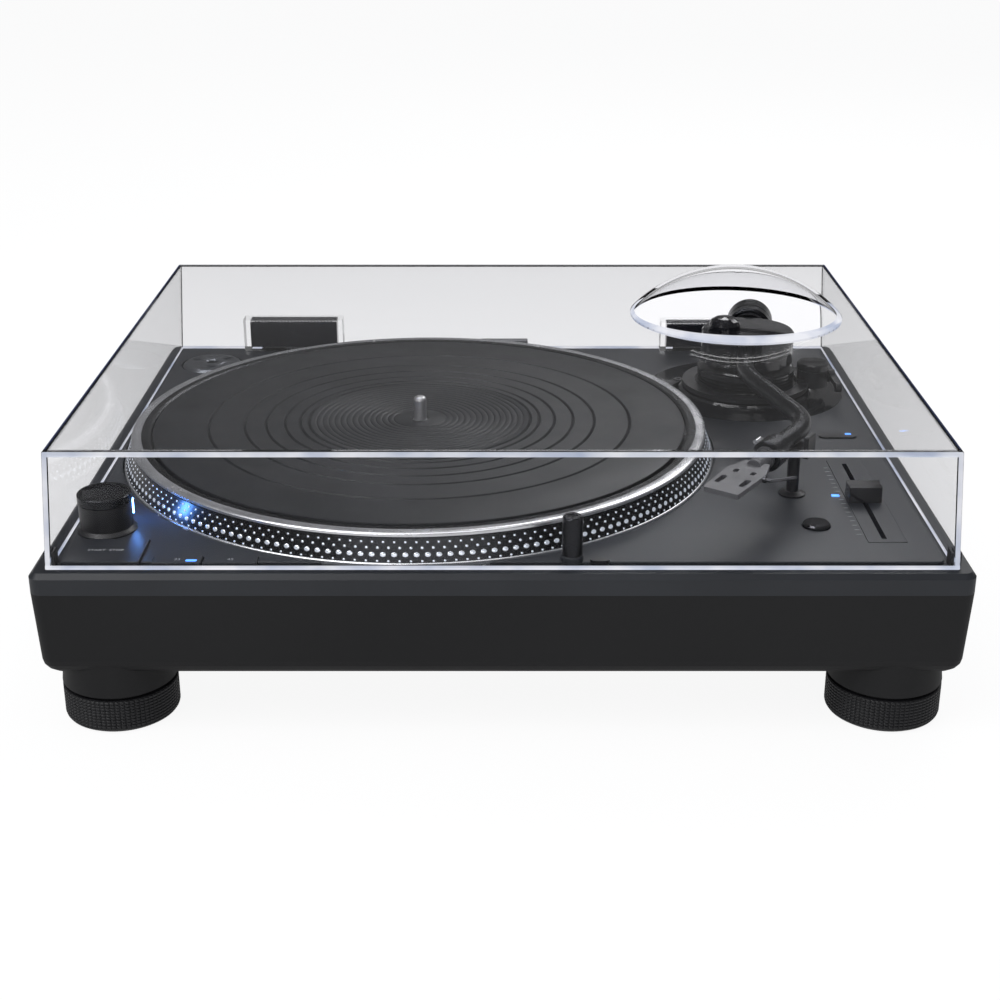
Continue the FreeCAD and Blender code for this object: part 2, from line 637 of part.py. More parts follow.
def base_housing():
    levels = []
    for degrees in (0, 18, 36, 54, 72, 90):
        levels.append(BASE_BOTTOM + BASE_ROUND * (1 - math.cos(math.radians(degrees))))
    levels.append(SPLIT_Z)
    outer = Part.makeLoft([base_section(z, 0, BASE_ROUND) for z in levels], True, True)
    inner = Part.makeLoft([base_section(z, WALL, BASE_ROUND) for z in (FLOOR_Z, FLOOR_Z + BASE_ROUND / 2)]
                          + [base_section(SPLIT_Z + OVER, WALL)], True, True)
    body = outer.cut(inner)
    added = []
    for _, x, y in foot_places():
        boss_z = FOOT_KNOB + FOOT_NECK + FOOT_GAP
        boss_r = FOOT_R - FOOT_BOSS_NARROWING
        added.append(turned(x, y, [(0, boss_z), (FOOT_R, boss_z), (boss_r, FOOT_BOSS_SLOPE_TOP),
                                   (boss_r, FOOT_BOSS_TOP), (0, FOOT_BOSS_TOP)]))
    pocket_x0, pocket_x1 = RIGHT - TERMINAL_POCKET[1], RIGHT - TERMINAL_POCKET[0]
    added.append(box(pocket_x0 - POCKET_WALL, pocket_x1 + POCKET_WALL, REAR - TERMINAL_DEPTH - POCKET_WALL,
                     REAR - OVER, TERMINAL_Z[0] - POCKET_WALL, TERMINAL_Z[1] + POCKET_WALL))
    for x, y in supply_posts() + board_posts():
        added.append(cylinder(x, y, FLOOR_Z - OVER, FLOOR_Z + STANDOFF, STANDOFF_R))
    body = fuse(body, *added)
    removed = [box(pocket_x0, pocket_x1, REAR - TERMINAL_DEPTH, REAR + OVER, *TERMINAL_Z)]
    for _, x, y in foot_places():
        removed.append(cylinder(x, y, 0, STUD_TOP + FOOT_NECK, STUD_R + RUNNING))
    for x, y in screw_places():
        removed.append(cylinder(x, y, BASE_BOTTOM - OVER, FLOOR_Z + OVER, SCREW_R + RUNNING))
        removed.append(cylinder(x, y, BASE_BOTTOM - OVER, BASE_BOTTOM + SCREW_HEAD, SCREW_HEAD_R + RUNNING))
    inlet_x = LEFT + INLET_AT
    removed.append(box(inlet_x - INLET_SIZE[0] / 2 - PANEL_FIT, inlet_x + INLET_SIZE[0] / 2 + PANEL_FIT,
                       REAR - WALL - OVER, REAR + OVER, INLET_Z - INLET_SIZE[1] / 2 - PANEL_FIT,
                       INLET_Z + INLET_SIZE[1] / 2 + PANEL_FIT))
    removed.append(cylinder(LAMP_X, LAMP_Y, LAMP_GUIDE_BOTTOM - OVER, SPLIT_Z + OVER, LAMP_GUIDE_R + 0.5))
    return cut(body, *removed)


def foot(x, y):
    neck_top = FOOT_KNOB + FOOT_NECK
    return turned(x, y, [(0, 0), (FOOT_R - FOOT_CHAMFER, 0), (FOOT_R, FOOT_CHAMFER), (FOOT_R, FOOT_KNOB),
                         (FOOT_NECK_R, FOOT_KNOB), (FOOT_NECK_R, neck_top), (STUD_R, neck_top),
                         (STUD_R, STUD_TOP), (0, STUD_TOP)])


def bottom_screws():
    screws = []
    for x, y in screw_places():
        head = cylinder(x, y, BASE_BOTTOM, BASE_BOTTOM + SCREW_HEAD, SCREW_HEAD_R)
        shank = cylinder(x, y, BASE_BOTTOM + SCREW_HEAD, FLOOR_Z + SCREW_LENGTH - OVER, SCREW_R)
        slot = box(x - SCREW_HEAD_R * 0.7, x + SCREW_HEAD_R * 0.7, y - 0.4, y + 0.4,
                   BASE_BOTTOM - OVER, BASE_BOTTOM + SCREW_HEAD / 2)
        cross = box(x - 0.4, x + 0.4, y - SCREW_HEAD_R * 0.7, y + SCREW_HEAD_R * 0.7,
                    BASE_BOTTOM - OVER, BASE_BOTTOM + SCREW_HEAD / 2)
        screws.append(cut(fuse(head, shank), slot, cross))
    return screws


# Cover and hinges

def cover_block(inward, z0, z1, wider=0.0, forward=0.0, backward=0.0):
    """The cover's closed outline, drawn in by a wall; its sides and front lean in towards the top.

    The last three move the sides, the front and the rear outwards, where a block has to run past them.
    """
    sections = []
    for z in (z0, z1):
        lean = (z - COVER_BOTTOM) / COVER_HEIGHT
        half = COVER_X - inward - COVER_SIDE_DRAFT * lean + wider
        front = COVER_FRONT + inward + COVER_FRONT_DRAFT * lean - forward
        rear = COVER_REAR - inward + backward
        corners = [vec(-half, front, z), vec(half, front, z), vec(half, rear, z), vec(-half, rear, z)]
        sections.append(Part.makePolygon(corners + corners[:1]))
    return Part.makeLoft(sections, True, True)


def hinge_opening(x, margin=0.0):
    """The space in the cover's rear wall that takes a hinge holder; with a margin, the pocket round it."""
    half = HOLDER_WIDTH / 2 + HOLDER_FIT + margin * POCKET_SIDE
    inner_rear = COVER_REAR - COVER_WALL
    front = inner_rear - 2 * HOLDER_FIT - HOLDER_DEPTH - margin * POCKET_FRONT
    top = HINGE_Z + HOLDER_HEIGHT + HOLDER_FIT + margin * POCKET_TOP
    bottom = FIELD_Z + OVER if margin else COVER_BOTTOM - OVER
    return box(x - half, x + half, front, inner_rear + margin * OVER, bottom, top)


def cover_sheets(shell):
    """Front, rear, top, left and right sheets, cemented edge to edge.

    The front and rear sheets are as wide as the cover, the sides run between them, and the top lies
    between the sides, so the cuts follow the planes of the walls' inner faces.
    """
    z0, z1 = COVER_BOTTOM - 2 * OVER, COVER_TOP + 2 * OVER
    past = 2 * COVER_WALL
    behind_front = cover_block(COVER_WALL, z0, z1, wider=past, backward=past)
    before_rear = cover_block(COVER_WALL, z0, z1, wider=past, forward=past)
    between_sides = cover_block(COVER_WALL, z0, z1, forward=past, backward=past)
    middle = shell.common(behind_front).common(before_rear)
    left, right = sorted(middle.cut(between_sides).Solids, key=lambda solid: solid.CenterOfMass.x)
    return shell.cut(behind_front), shell.cut(before_rear), middle.common(between_sides), left, right


def dust_cover():
    """A clear box without a bottom, with pockets for the hinges and a round hole under the dome."""
    outer = cover_block(0.0, COVER_BOTTOM, COVER_TOP)
    outer = outer.makeFillet(COVER_ROUND, [e for e in outer.Edges if e.BoundBox.ZMax > COVER_BOTTOM + OVER])
    shell = outer.cut(cover_block(COVER_WALL, COVER_BOTTOM - OVER, COVER_TOP - COVER_WALL))
    shell = shell.cut(cylinder(DOME_X, DOME_Y, COVER_TOP - 2 * COVER_WALL, COVER_TOP + OVER, DOME_BASE_R))
    openings = [hinge_opening(x) for x in HINGE_XS]
    notch = HINGE_WIDTH / 2 + NOTCH_GAP
    for x in HINGE_XS:
        openings.append(box(x - notch, x + notch, COVER_REAR - COVER_WALL - OVER, COVER_REAR + OVER,
                            COVER_BOTTOM - OVER, HINGE_Z + BARREL_R * 2.2))
    front, rear, top, left, right = cover_sheets(shell)
    rear = cut(fuse(rear, *[hinge_opening(x, 1.0) for x in HINGE_XS]), *openings)
    return [front, rear, top, left, right]


def cover_dome():
    """A clear cap over the arm's pivot, cut from two spheres about one centre and bonded into the hole."""
    low = COVER_TOP - COVER_WALL
    sphere_r = (DOME_BASE_R ** 2 + DOME_HEIGHT ** 2) / (2 * DOME_HEIGHT)
    centre = vec(DOME_X, DOME_Y, COVER_TOP + DOME_HEIGHT - sphere_r)
    cap = Part.makeSphere(sphere_r, centre).common(
        cylinder(DOME_X, DOME_Y, low, COVER_TOP + DOME_HEIGHT + OVER, DOME_BASE_R))
    return cap.cut(Part.makeSphere(sphere_r - COVER_WALL, centre))


def cover_cushions():
    """Two rubber clips pushed onto the side walls' lower edges, near the front."""
    wall = cover_block(0.0, COVER_BOTTOM, COVER_TOP).cut(
        cover_block(COVER_WALL, COVER_BOTTOM - OVER, COVER_TOP - COVER_WALL))
    y0 = COVER_FRONT + COVER_WALL + CLIP_FROM_CORNER
    clips = []
    for side in (-1, 1):
        inner_x = COVER_X - COVER_WALL - CLIP_SKIN - COVER_SIDE_DRAFT * CLIP_HEIGHT / COVER_HEIGHT
        skin = box(inner_x, COVER_X + CLIP_SKIN, y0, y0 + CLIP_LENGTH, LEDGE_Z, LEDGE_Z + CLIP_HEIGHT)
        if side < 0:
            skin = skin.mirror(vec(0, 0), vec(1, 0))
        clips.append(skin.cut(wall))
    return clips


def along_x(x0, x1, y, z, r):
    return rod((x0, y, z), (1, 0, 0), x1 - x0, r)


def hinge_arm(x):
    """The moving half: a block in the cover's pocket, a tongue and two knuckles."""
    inner_rear = COVER_REAR - COVER_WALL
    front = inner_rear - HOLDER_FIT - HOLDER_DEPTH
    half = HOLDER_WIDTH / 2
    block = box(x - half, x + half, front, inner_rear - HOLDER_FIT, HINGE_Z, HINGE_Z + HOLDER_HEIGHT)
    block = block.makeFillet(1.0, [e for e in block.Edges if e.BoundBox.ZMin > HINGE_Z + OVER])
    wide = HINGE_WIDTH / 2
    tongue = box(x - wide, x + wide, inner_rear - HOLDER_FIT - OVER, HINGE_Y, HINGE_Z, HINGE_Z + BARREL_R)
    barrel = along_x(x - wide, x + wide, HINGE_Y, HINGE_Z, BARREL_R)
    gap_half = CENTRE_KNUCKLE / 2 + KNUCKLE_GAP
    gap = box(x - gap_half, x + gap_half, COVER_REAR - 0.5, HINGE_Y + BARREL_R + OVER,
              HINGE_Z - BARREL_R - OVER, HINGE_Z + BARREL_R + OVER)
    bore = along_x(x - half, x + half, HINGE_Y, HINGE_Z, HINGE_PIN_R + RUNNING)
    return cut(fuse(block, tongue, barrel), gap, bore)


def hinge_base(x):
    """The fixed half: a block let into the plinth's rear edge and the centre knuckle."""
    half = HINGE_BLOCK_WIDTH / 2
    block = box(x - half, x + half, REAR - HINGE_BLOCK_DEPTH, REAR, LEDGE_Z - HINGE_BLOCK_HEIGHT, LEDGE_Z)
    knuckle_half = CENTRE_KNUCKLE / 2
    riser = box(x - knuckle_half, x + knuckle_half, HINGE_Y - BARREL_R + 0.5, REAR,
                LEDGE_Z - OVER, HINGE_Z)
    knuckle = along_x(x - knuckle_half, x + knuckle_half, HINGE_Y, HINGE_Z, BARREL_R)
    bore = along_x(x - half, x + half, HINGE_Y, HINGE_Z, HINGE_PIN_R)
    return cut(fuse(block, riser, knuckle), bore)


# Platter and drive

def platter():
    r_top = TOP_RING_R
    profile = [
        (SHAFT_R + RUNNING, WEB_Z), (SKIRT_INNER_R - 4.0, WEB_Z), (SKIRT_INNER_R, WEB_Z - 4.0),
        (SKIRT_INNER_R, PLATTER_Z), (PLATTER_R, PLATTER_Z), (PLATTER_R, PLATTER_Z + PLATTER_RIM_LOW),
        (RIM_FOOT_R, PLATTER_Z + PLATTER_RIM_LOW + 0.3), (RIM_TOP_R, MAT_SEAT), (r_top, MAT_SEAT),
        (r_top, PLATTER_TOP - 0.6), (r_top - 0.8, PLATTER_TOP), (MAT_R + 2.5, PLATTER_TOP),
        (MAT_R + 1.0, PLATTER_TOP - 0.8), (MAT_R + 1.0, MAT_SEAT), (SHAFT_R + RUNNING, MAT_SEAT),
    ]
    return turned(SPINDLE_X, SPINDLE_Y, profile)


def platter_mat():
    """A rubber disc with a raised label ring and concentric grooves."""
    profile = [(SHAFT_R + MAT_HOLE_GAP, MAT_SEAT), (MAT_R - 0.5, MAT_SEAT), (MAT_R, MAT_SEAT + 0.5),
               (MAT_R, MAT_TOP - 0.8), (MAT_R - 0.8, MAT_TOP)]
    for r in MAT_GROOVES:
        half = MAT_GROOVE_WIDTH / 2
        profile += [(r + half, MAT_TOP), (r, MAT_TOP - MAT_GROOVE_DEPTH), (r - half, MAT_TOP)]
    profile.append((SHAFT_R + MAT_HOLE_GAP, MAT_TOP))
    return turned(SPINDLE_X, SPINDLE_Y, profile)


def spindle():
    """A stepped shaft whose thin end takes a record's hole."""
    top = MAT_TOP + SPINDLE_ABOVE_MAT
    step = MAT_TOP - SHAFT_STEP
    profile = [(0, SPINDLE_BOTTOM), (SHAFT_R - 0.6, SPINDLE_BOTTOM), (SHAFT_R, SPINDLE_BOTTOM + 0.6),
               (SHAFT_R, step), (SPINDLE_R, step), (SPINDLE_R, top - 2.2), (SPINDLE_R - 0.5, top - 0.9),
               (SPINDLE_R - 1.6, top - 0.2), (0, top)]
    return turned(SPINDLE_X, SPINDLE_Y, profile)


YOKE_Z = WEB_Z - YOKE_BELOW_PLATTER - YOKE_THICKNESS


def rotor_yoke():
    disc = tube(SPINDLE_X, SPINDLE_Y, YOKE_Z, YOKE_Z + YOKE_THICKNESS, YOKE_R, SHAFT_R)
    hub = tube(SPINDLE_X, SPINDLE_Y, YOKE_Z, WEB_Z, HUB_R, SHAFT_R)
    return fuse(disc, hub)


def rotor_magnet():
    return tube(SPINDLE_X, SPINDLE_Y, YOKE_Z - MAGNET_HEIGHT, YOKE_Z, MAGNET_R[1], MAGNET_R[0])


STATOR_Z = CAVITY_TOP - STATOR_DROP


def stator_plate():
    plate = cylinder(SPINDLE_X, SPINDLE_Y, STATOR_Z, STATOR_Z + STATOR_THICKNESS, STATOR_R)
    posts = []
    for i in range(3):
        a = math.radians(90 + 120 * i)
        r = STATOR_R - STATOR_POST_R - 1.0
        x, y = SPINDLE_X + r * math.cos(a), SPINDLE_Y + r * math.sin(a)
        posts.append(cylinder(x, y, STATOR_Z, CAVITY_TOP, STATOR_POST_R))
    hole = cylinder(SPINDLE_X, SPINDLE_Y, STATOR_Z - OVER, STATOR_Z + 2 * STATOR_THICKNESS, SHAFT_R + 1.0)
    return fuse(plate, *posts).cut(hole)


def stator_coils():
    """Flat coreless coils laid in a ring, each a wedge with an open middle."""
    z0 = STATOR_Z + STATOR_THICKNESS
    z1 = z0 + COIL_HEIGHT
    coils = []
    step = 360.0 / COIL_COUNT
    for i in range(COIL_COUNT):
        ring = tube(SPINDLE_X, SPINDLE_Y, z0, z1, COIL_R[1], COIL_R[0])
        ring = ring.common(wedge(z0, z1, COIL_R[1] * 1.3, i * step, step, COIL_GAP / 2))
        eye = tube(SPINDLE_X, SPINDLE_Y, z0 - OVER, z1 + OVER, COIL_R[1] - 8.0, COIL_R[0] + 8.0)
        eye = eye.common(wedge(z0 - OVER, z1 + OVER, COIL_R[1] * 1.3, i * step, step, COIL_GAP / 2 + 6.0))
        coils.append(ring.cut(eye))
    return coils


def wedge(z0, z1, r, start, sweep, margin):
    """A three-cornered slice from the spindle, drawn in by a margin along both sides."""
    mid = math.radians(start + sweep / 2)
    half = math.radians(sweep / 2)
    tip = margin / math.sin(half)
    ox, oy = SPINDLE_X + tip * math.cos(mid), SPINDLE_Y + tip * math.sin(mid)
    points = [(ox, oy)]
    for a in (mid - half, mid + half):
        points.append((ox + r * math.cos(a), oy + r * math.sin(a)))
    return prism(points, z0, z1)


def spindle_bearing():
    x, y = SPINDLE_X, SPINDLE_Y
    body = cylinder(x, y, BEARING_BOTTOM, STATOR_Z, BEARING_R)
    flange = cylinder(x, y, STATOR_Z - BEARING_FLANGE, STATOR_Z, BEARING_FLANGE_R)
    bore = cylinder(x, y, SPINDLE_BOTTOM - 0.2, STATOR_Z + OVER, SHAFT_R + RUNNING)
    return fuse(body, flange).cut(bore)


# Tonearm

def tube_points():
    """Ends and middles of the tube's runs and bends, in the arm's frame.

    The two straight runs after the first bend are as long as it takes to reach the tube's end,
    which lies SHELL_OVERHANG behind the stylus point along the offset direction.
    """
    t1 = math.radians(TUBE_FIRST_TURN)
    t2 = -math.radians(OFFSET_ANGLE)
    end_x = EFFECTIVE_LENGTH - SHELL_OVERHANG * math.cos(t2)
    end_y = -SHELL_OVERHANG * math.sin(t2)
    r1, r2 = TUBE_FIRST_BEND, TUBE_SECOND_BEND
    ax, ay = TUBE_FIRST_RUN + r1 * math.sin(t1), r1 * (1 - math.cos(t1))
    bend_x = r2 * (math.sin(t1) - math.sin(t2))
    bend_y = r2 * (math.cos(t2) - math.cos(t1))
    dx, dy = end_x - ax - bend_x, end_y - ay - bend_y
    det = math.cos(t1) * math.sin(t2) - math.sin(t1) * math.cos(t2)
    run1 = (dx * math.sin(t2) - dy * math.cos(t2)) / det
    run2 = (dy * math.cos(t1) - dx * math.sin(t1)) / det
    start = (0.0, 0.0)
    first = (TUBE_FIRST_RUN, 0.0)
    mid1 = (TUBE_FIRST_RUN + r1 * math.sin(t1 / 2), r1 * (1 - math.cos(t1 / 2)))
    bend1 = (ax, ay)
    run_end = (ax + run1 * math.cos(t1), ay + run1 * math.sin(t1))
    cx, cy = run_end[0] + r2 * math.sin(t1), run_end[1] - r2 * math.cos(t1)
    tm = (t1 + t2) / 2
    mid2 = (cx - r2 * math.sin(tm), cy + r2 * math.cos(tm))
    bend2 = (cx - r2 * math.sin(t2), cy + r2 * math.cos(t2))
    end = (bend2[0] + run2 * math.cos(t2), bend2[1] + run2 * math.sin(t2))
    return start, first, mid1, bend1, run_end, mid2, bend2, end


def shell_frame(shape):
    """Places a shape drawn along +X from the tube's end onto the offset headshell line."""
    end = tube_points()[-1]
    placed = shape.copy()
    placed.rotate(vec(0, 0), Z_AXIS, -OFFSET_ANGLE)
    placed.translate(vec(end[0], end[1]))
    return in_arm_frame(placed)


def swept(points_2d, z, r):
    start, first, mid1, bend1, run_end, mid2, bend2, end = [vec(x, y, z) for x, y in points_2d]
    path = Part.Wire([
        Part.LineSegment(start, first).toShape(), Part.Arc(first, mid1, bend1).toShape(),
        Part.LineSegment(bend1, run_end).toShape(), Part.Arc(run_end, mid2, bend2).toShape(),
        Part.LineSegment(bend2, end).toShape()])
    ring = Part.Wire([Part.Circle(start, vec(1, 0, 0), r).toShape()])
    return path.makePipeShell([ring], True, False)


def arm_tube():
    pipe = swept(tube_points(), ARM_Z, TUBE_R)
    half = [s / 2 for s in BLOCK_SIZE]
    block = box(-half[0], half[0], -half[1], half[1], ARM_Z - half[2], ARM_Z + half[2])
    block = block.makeFillet(1.5, upright_edges(block))
    rear = rod((0, 0, ARM_Z), (-1, 0, 0), REAR_SHAFT, TUBE_R)
    arm = fuse(pipe, block, rear)
    for side in (-1, 1):
        cup = rod((0, side * (half[1] + OVER), ARM_Z), (0, -side, 0), OVER + CUP_DEPTH, PIVOT_SCREW_R + RUNNING)
        arm = arm.cut(cup)
    plug = rod((-OVER, 0, ARM_Z), (1, 0, 0), COLLAR_LENGTH / 2 + OVER, TUBE_R)
    return fuse(in_arm_frame(arm), shell_frame(plug))


def collar_nut():
    ring = rod((-COLLAR_BACK, 0, ARM_Z), (1, 0, 0), COLLAR_LENGTH, COLLAR_R)
    ring = ring.makeChamfer(0.8, [e for e in ring.Edges if e.BoundBox.XLength < 0.001])
    bore = rod((-COLLAR_BACK - OVER, 0, ARM_Z), (1, 0, 0), COLLAR_LENGTH + 2 * OVER, TUBE_R + RUNNING)
    return shell_frame(ring.cut(bore))


def headshell():
    x_stylus = SHELL_OVERHANG
    z0, z1 = ARM_Z - SHELL_THICKNESS / 2, ARM_Z + SHELL_THICKNESS / 2
    half_rear, half_mid, half_front = SHELL_HALF
    rear, mid = x_stylus + SHELL_REAR, x_stylus - 16.0
    outline = [(rear, -half_rear), (mid, -half_mid), (x_stylus + SHELL_FRONT[0], -half_front),
               (x_stylus + SHELL_FRONT[1], half_front), (mid, half_mid), (rear, half_rear)]
    plate = prism(outline, z0, z1)
    plate = plate.makeFillet(1.2, upright_edges(plate))
    slots = []
    for side in (-1, 1):
        y = side * SLOT_SPACING / 2
        slots.append(pill(x_stylus, y, z0 - OVER, z1 + OVER, SLOT_LENGTH, SLOT_WIDTH))
        slots.append(pill(x_stylus - 14.0, y * 0.72, z0 - OVER, z1 + OVER, 4.6, 2.6))
    neck_start = COLLAR_LENGTH / 2 + 0.2
    socket = rod((neck_start, 0, ARM_Z), (1, 0, 0), COLLAR_LENGTH - COLLAR_BACK + 2.0 - neck_start, TUBE_R)
    neck = rod((neck_start, 0, ARM_Z), (1, 0, 0), rear + 5.0 - neck_start, NECK_R)
    return shell_frame(fuse(plate.cut(slots), socket, neck))


def finger_lift():
    """A bent rod with a small screw head at the plate's right edge."""
    x_stylus = SHELL_OVERHANG
    a = (x_stylus - 12.7, SHELL_HALF[1] - 0.6, ARM_Z)
    b = (x_stylus - 12.7, SHELL_HALF[1] + 4.0, ARM_Z)
    c = (x_stylus - 19.3, SHELL_HALF[1] + 13.9, ARM_Z + 1.5)
    pieces = []
    for start, end in ((a, b), (b, c)):
        d = [e - s for s, e in zip(start, end)]
        pieces.append(rod(start, d, math.sqrt(sum(v * v for v in d)), LIFT_ROD_R))
    for point in (b, c):
        pieces.append(Part.makeSphere(LIFT_ROD_R, vec(*point)))
    pieces.append(rod((a[0], SHELL_HALF[1] - 0.2, ARM_Z), (0, 1, 0), 1.6, 1.7))
    lift = fuse(*pieces)
    plate_edge = box(a[0] - 5, a[0] + 5, 0, SHELL_HALF[1], ARM_Z - 5, ARM_Z + 5)
    return shell_frame(lift.cut(plate_edge))


def gimbal():
    z0, z1 = ARM_Z - DRUM_BELOW, ARM_Z + DRUM_ABOVE
    drum = cylinder(0, 0, z0, z1, DRUM_R)
    drum = drum.makeChamfer(1.0, edges_at(drum, z1))
    hollow = cylinder(0, 0, z0 + DRUM_FLOOR, z1 - DRUM_CAP, DRUM_INNER_R)
    window = box(-DRUM_R - OVER, DRUM_R + OVER, DRUM_WINDOW[0], DRUM_WINDOW[1],
                 z0 + DRUM_FLOOR, z1 - DRUM_CAP)
    shaft = cylinder(0, 0, z0 - GIMBAL_SHAFT, z0 + OVER, GIMBAL_SHAFT_R)
    boss_top = z1 + BOSS_HEIGHT
    boss = turned(0, BOSS_OFFSET, [(0, z1 - OVER), (BOSS_R, z1 - OVER), (BOSS_R, boss_top - 3.0),
                                   (BOSS_R - 1.0, boss_top - 0.6), (BOSS_R - 3.5, boss_top + 0.9),
                                   (0, boss_top + 1.6)])
    body = fuse(cut(drum, hollow, window), shaft, boss)
    for side in (-1, 1):
        body = body.cut(rod((0, side * (DRUM_R + OVER), ARM_Z), (0, -side, 0),
                            DRUM_R - DRUM_INNER_R + 2 * OVER, PIVOT_SCREW_R))
    return in_arm_frame(body)


def pivot_screws():
    screws = []
    tip = BLOCK_SIZE[1] / 2 - 1.0
    for side in (-1, 1):
        screw = rod((0, side * tip, ARM_Z), (0, side, 0), DRUM_R - tip - 0.6, PIVOT_SCREW_R)
        screws.append(in_arm_frame(screw))
    return screws


def along_arm(start, length, r, bore):
    body = rod((-start, 0, ARM_Z), (-1, 0, 0), length, r)
    return body.cut(rod((-start + OVER, 0, ARM_Z), (-1, 0, 0), length + 2 * OVER, bore))


def weight_scale_ring():
    return in_arm_frame(along_arm(RING_START, RING_WIDTH, RING_R, TUBE_R + RUNNING))


def counterweight():
    body = rod((-WEIGHT_START, 0, ARM_Z), (-1, 0, 0), WEIGHT_LENGTH, WEIGHT_R)
    body = body.makeChamfer(1.2, [e for e in body.Edges if e.BoundBox.XLength < 0.001])
    bore = rod((-WEIGHT_START + OVER, 0, ARM_Z), (-1, 0, 0), WEIGHT_LENGTH + 2 * OVER, TUBE_R + RUNNING)
    body = body.cut(bore)
    groove = along_arm(WEIGHT_START + WEIGHT_LENGTH * 0.35, 1.5, WEIGHT_R + OVER, WEIGHT_R - 0.8)
    return in_arm_frame(body.cut(groove))


# Arm base

def arm_base():
    panel = panel_disc(PANEL_Z, PANEL_TOP, 0.0)
    ring = tube(PIVOT_X, PIVOT_Y, PANEL_TOP - OVER, PANEL_TOP + PANEL_RING_RISE,
                HEIGHT_RING_R + PANEL_RING[1], HEIGHT_RING_R + PANEL_RING[0])
    ring = ring.common(panel_disc(PANEL_Z, PANEL_TOP + OVER, 0.0))
    column = cylinder(PIVOT_X, PIVOT_Y, COLUMN_BOTTOM, PANEL_TOP, COLUMN_R)
    bore = cylinder(PIVOT_X, PIVOT_Y, COLUMN_BOTTOM - OVER, PANEL_TOP + OVER, PEDESTAL_R + SLIDE_FIT)
    lock_x, lock_y = polar(LOCK_RADIUS, LOCK_ANGLE)
    pin = cylinder(lock_x, lock_y, PANEL_TOP - OVER, PANEL_TOP + LOCK_PIN_HEIGHT, LOCK_PIN_R)
    return fuse(panel, ring, column, pin).cut(bore)


def height_ring():
    """The knurled ring that turns round the column to raise the arm."""
    z0, z1 = PANEL_TOP, PANEL_TOP + HEIGHT_RING_HEIGHT
    bore = PEDESTAL_R + SLIDE_FIT
    ring = turned(PIVOT_X, PIVOT_Y, [(bore, z0), (HEIGHT_RING_R, z0), (HEIGHT_RING_R, z1 - 1.4),
                                     (HEIGHT_RING_R - 1.4, z1), (bore, z1)])
    notches = []
    for i in range(RING_NOTCHES):
        x, y = polar(HEIGHT_RING_R + 0.6, i * 360.0 / RING_NOTCHES)
        notches.append(cylinder(x, y, z0 + 1.2, z1 + OVER, 1.4))
    return cut(ring, *notches)


def arm_pedestal():
    """The sliding column: a plain slide in the base, and a ribbed neck under the gimbal."""
    rib_bottom = SLIDE_TOP + POD_PLATE
    pitch = RIB_BAND / RIB_COUNT
    shaft_bore = GIMBAL_SHAFT_R + SLIDE_FIT
    hollow_r = POD_NECK_R - COLUMN_SKIN
    top = ARM_Z - DRUM_BELOW - PEDESTAL_GAP
    profile = [(hollow_r, PEDESTAL_BOTTOM), (PEDESTAL_R, PEDESTAL_BOTTOM), (PEDESTAL_R, SLIDE_TOP),
               (POD_NECK_R - RUNNING, SLIDE_TOP), (POD_NECK_R - RUNNING, rib_bottom)]
    for i in range(RIB_COUNT):
        z = rib_bottom + i * pitch
        profile += [(RIB_R, z), (RIB_R, z + pitch * 0.52), (RIB_GROOVE_R, z + pitch * 0.64),
                    (RIB_GROOVE_R, z + pitch)]
    profile += [(PEDESTAL_TOP_R, top), (shaft_bore, top), (shaft_bore, SLIDE_TOP - CROWN),
                (hollow_r, SLIDE_TOP - CROWN)]
    return turned(PIVOT_X, PIVOT_Y, profile)


def control_pod():
    """A plate round the pedestal's neck, with the pod for the dial and the lift's post guide."""
    z0, z1 = SLIDE_TOP, SLIDE_TOP + POD_PLATE
    x, y = PIVOT_X + POD_OFFSET, PIVOT_Y
    lift_x, lift_y = polar(LIFT_RADIUS, LIFT_POST_ANGLE)
    plate = cylinder(PIVOT_X, PIVOT_Y, z0, z1, POD_PLATE_R)
    pod = cylinder(x, y, z0, z0 + POD_HEIGHT, POD_R)
    bracket = box(PIVOT_X + POD_NECK_R, x, y - POD_R * 0.8, y + POD_R * 0.8, z0, z1 + 2.0)
    guide = cylinder(lift_x, lift_y, z0, z1 + LIFT_GUIDE_RISE, LIFT_POST_R + LIFT_GUIDE_WALL)
    removed = [
        cylinder(PIVOT_X, PIVOT_Y, z0 - OVER, z1 + LIFT_GUIDE_RISE + OVER, POD_NECK_R),
        cylinder(lift_x, lift_y, z0 - OVER, z1 + LIFT_GUIDE_RISE + OVER, LIFT_POST_R + RUNNING),
        cylinder(x, y, z1, z0 + POD_HEIGHT + OVER, DIAL_STUB_R + RUNNING),
        rod((x + POD_R - CUE_SHAFT, y, CUE_Z), (1, 0, 0), CUE_SHAFT + OVER, CUE_SHAFT_R + RUNNING),
    ]
    return cut(fuse(plate, pod, bracket, guide), *removed)


def anti_skate_dial():
    x, y = PIVOT_X + POD_OFFSET, PIVOT_Y
    z0 = SLIDE_TOP + POD_HEIGHT + DIAL_GAP
    z1 = z0 + DIAL_HEIGHT
    knob = cylinder(x, y, z0, z1, DIAL_R)
    knob = knob.makeChamfer(0.8, edges_at(knob, z1))
    flutes = []
    for i in range(DIAL_FLUTES):
        a = math.radians(i * 360.0 / DIAL_FLUTES)
        flute_x, flute_y = x + (DIAL_R + 0.5) * math.cos(a), y + (DIAL_R + 0.5) * math.sin(a)
        flutes.append(cylinder(flute_x, flute_y, z0 - OVER, z1 + OVER, 1.0))
    half = DIAL_R * 0.75
    grip = box(x - half, x + half, y - 1.2, y + 1.2, z1, z1 + 1.0)
    stub = cylinder(x, y, SLIDE_TOP + POD_PLATE + DIAL_GAP, z0 + OVER, DIAL_STUB_R)
    return fuse(cut(knob, *flutes), grip, stub)


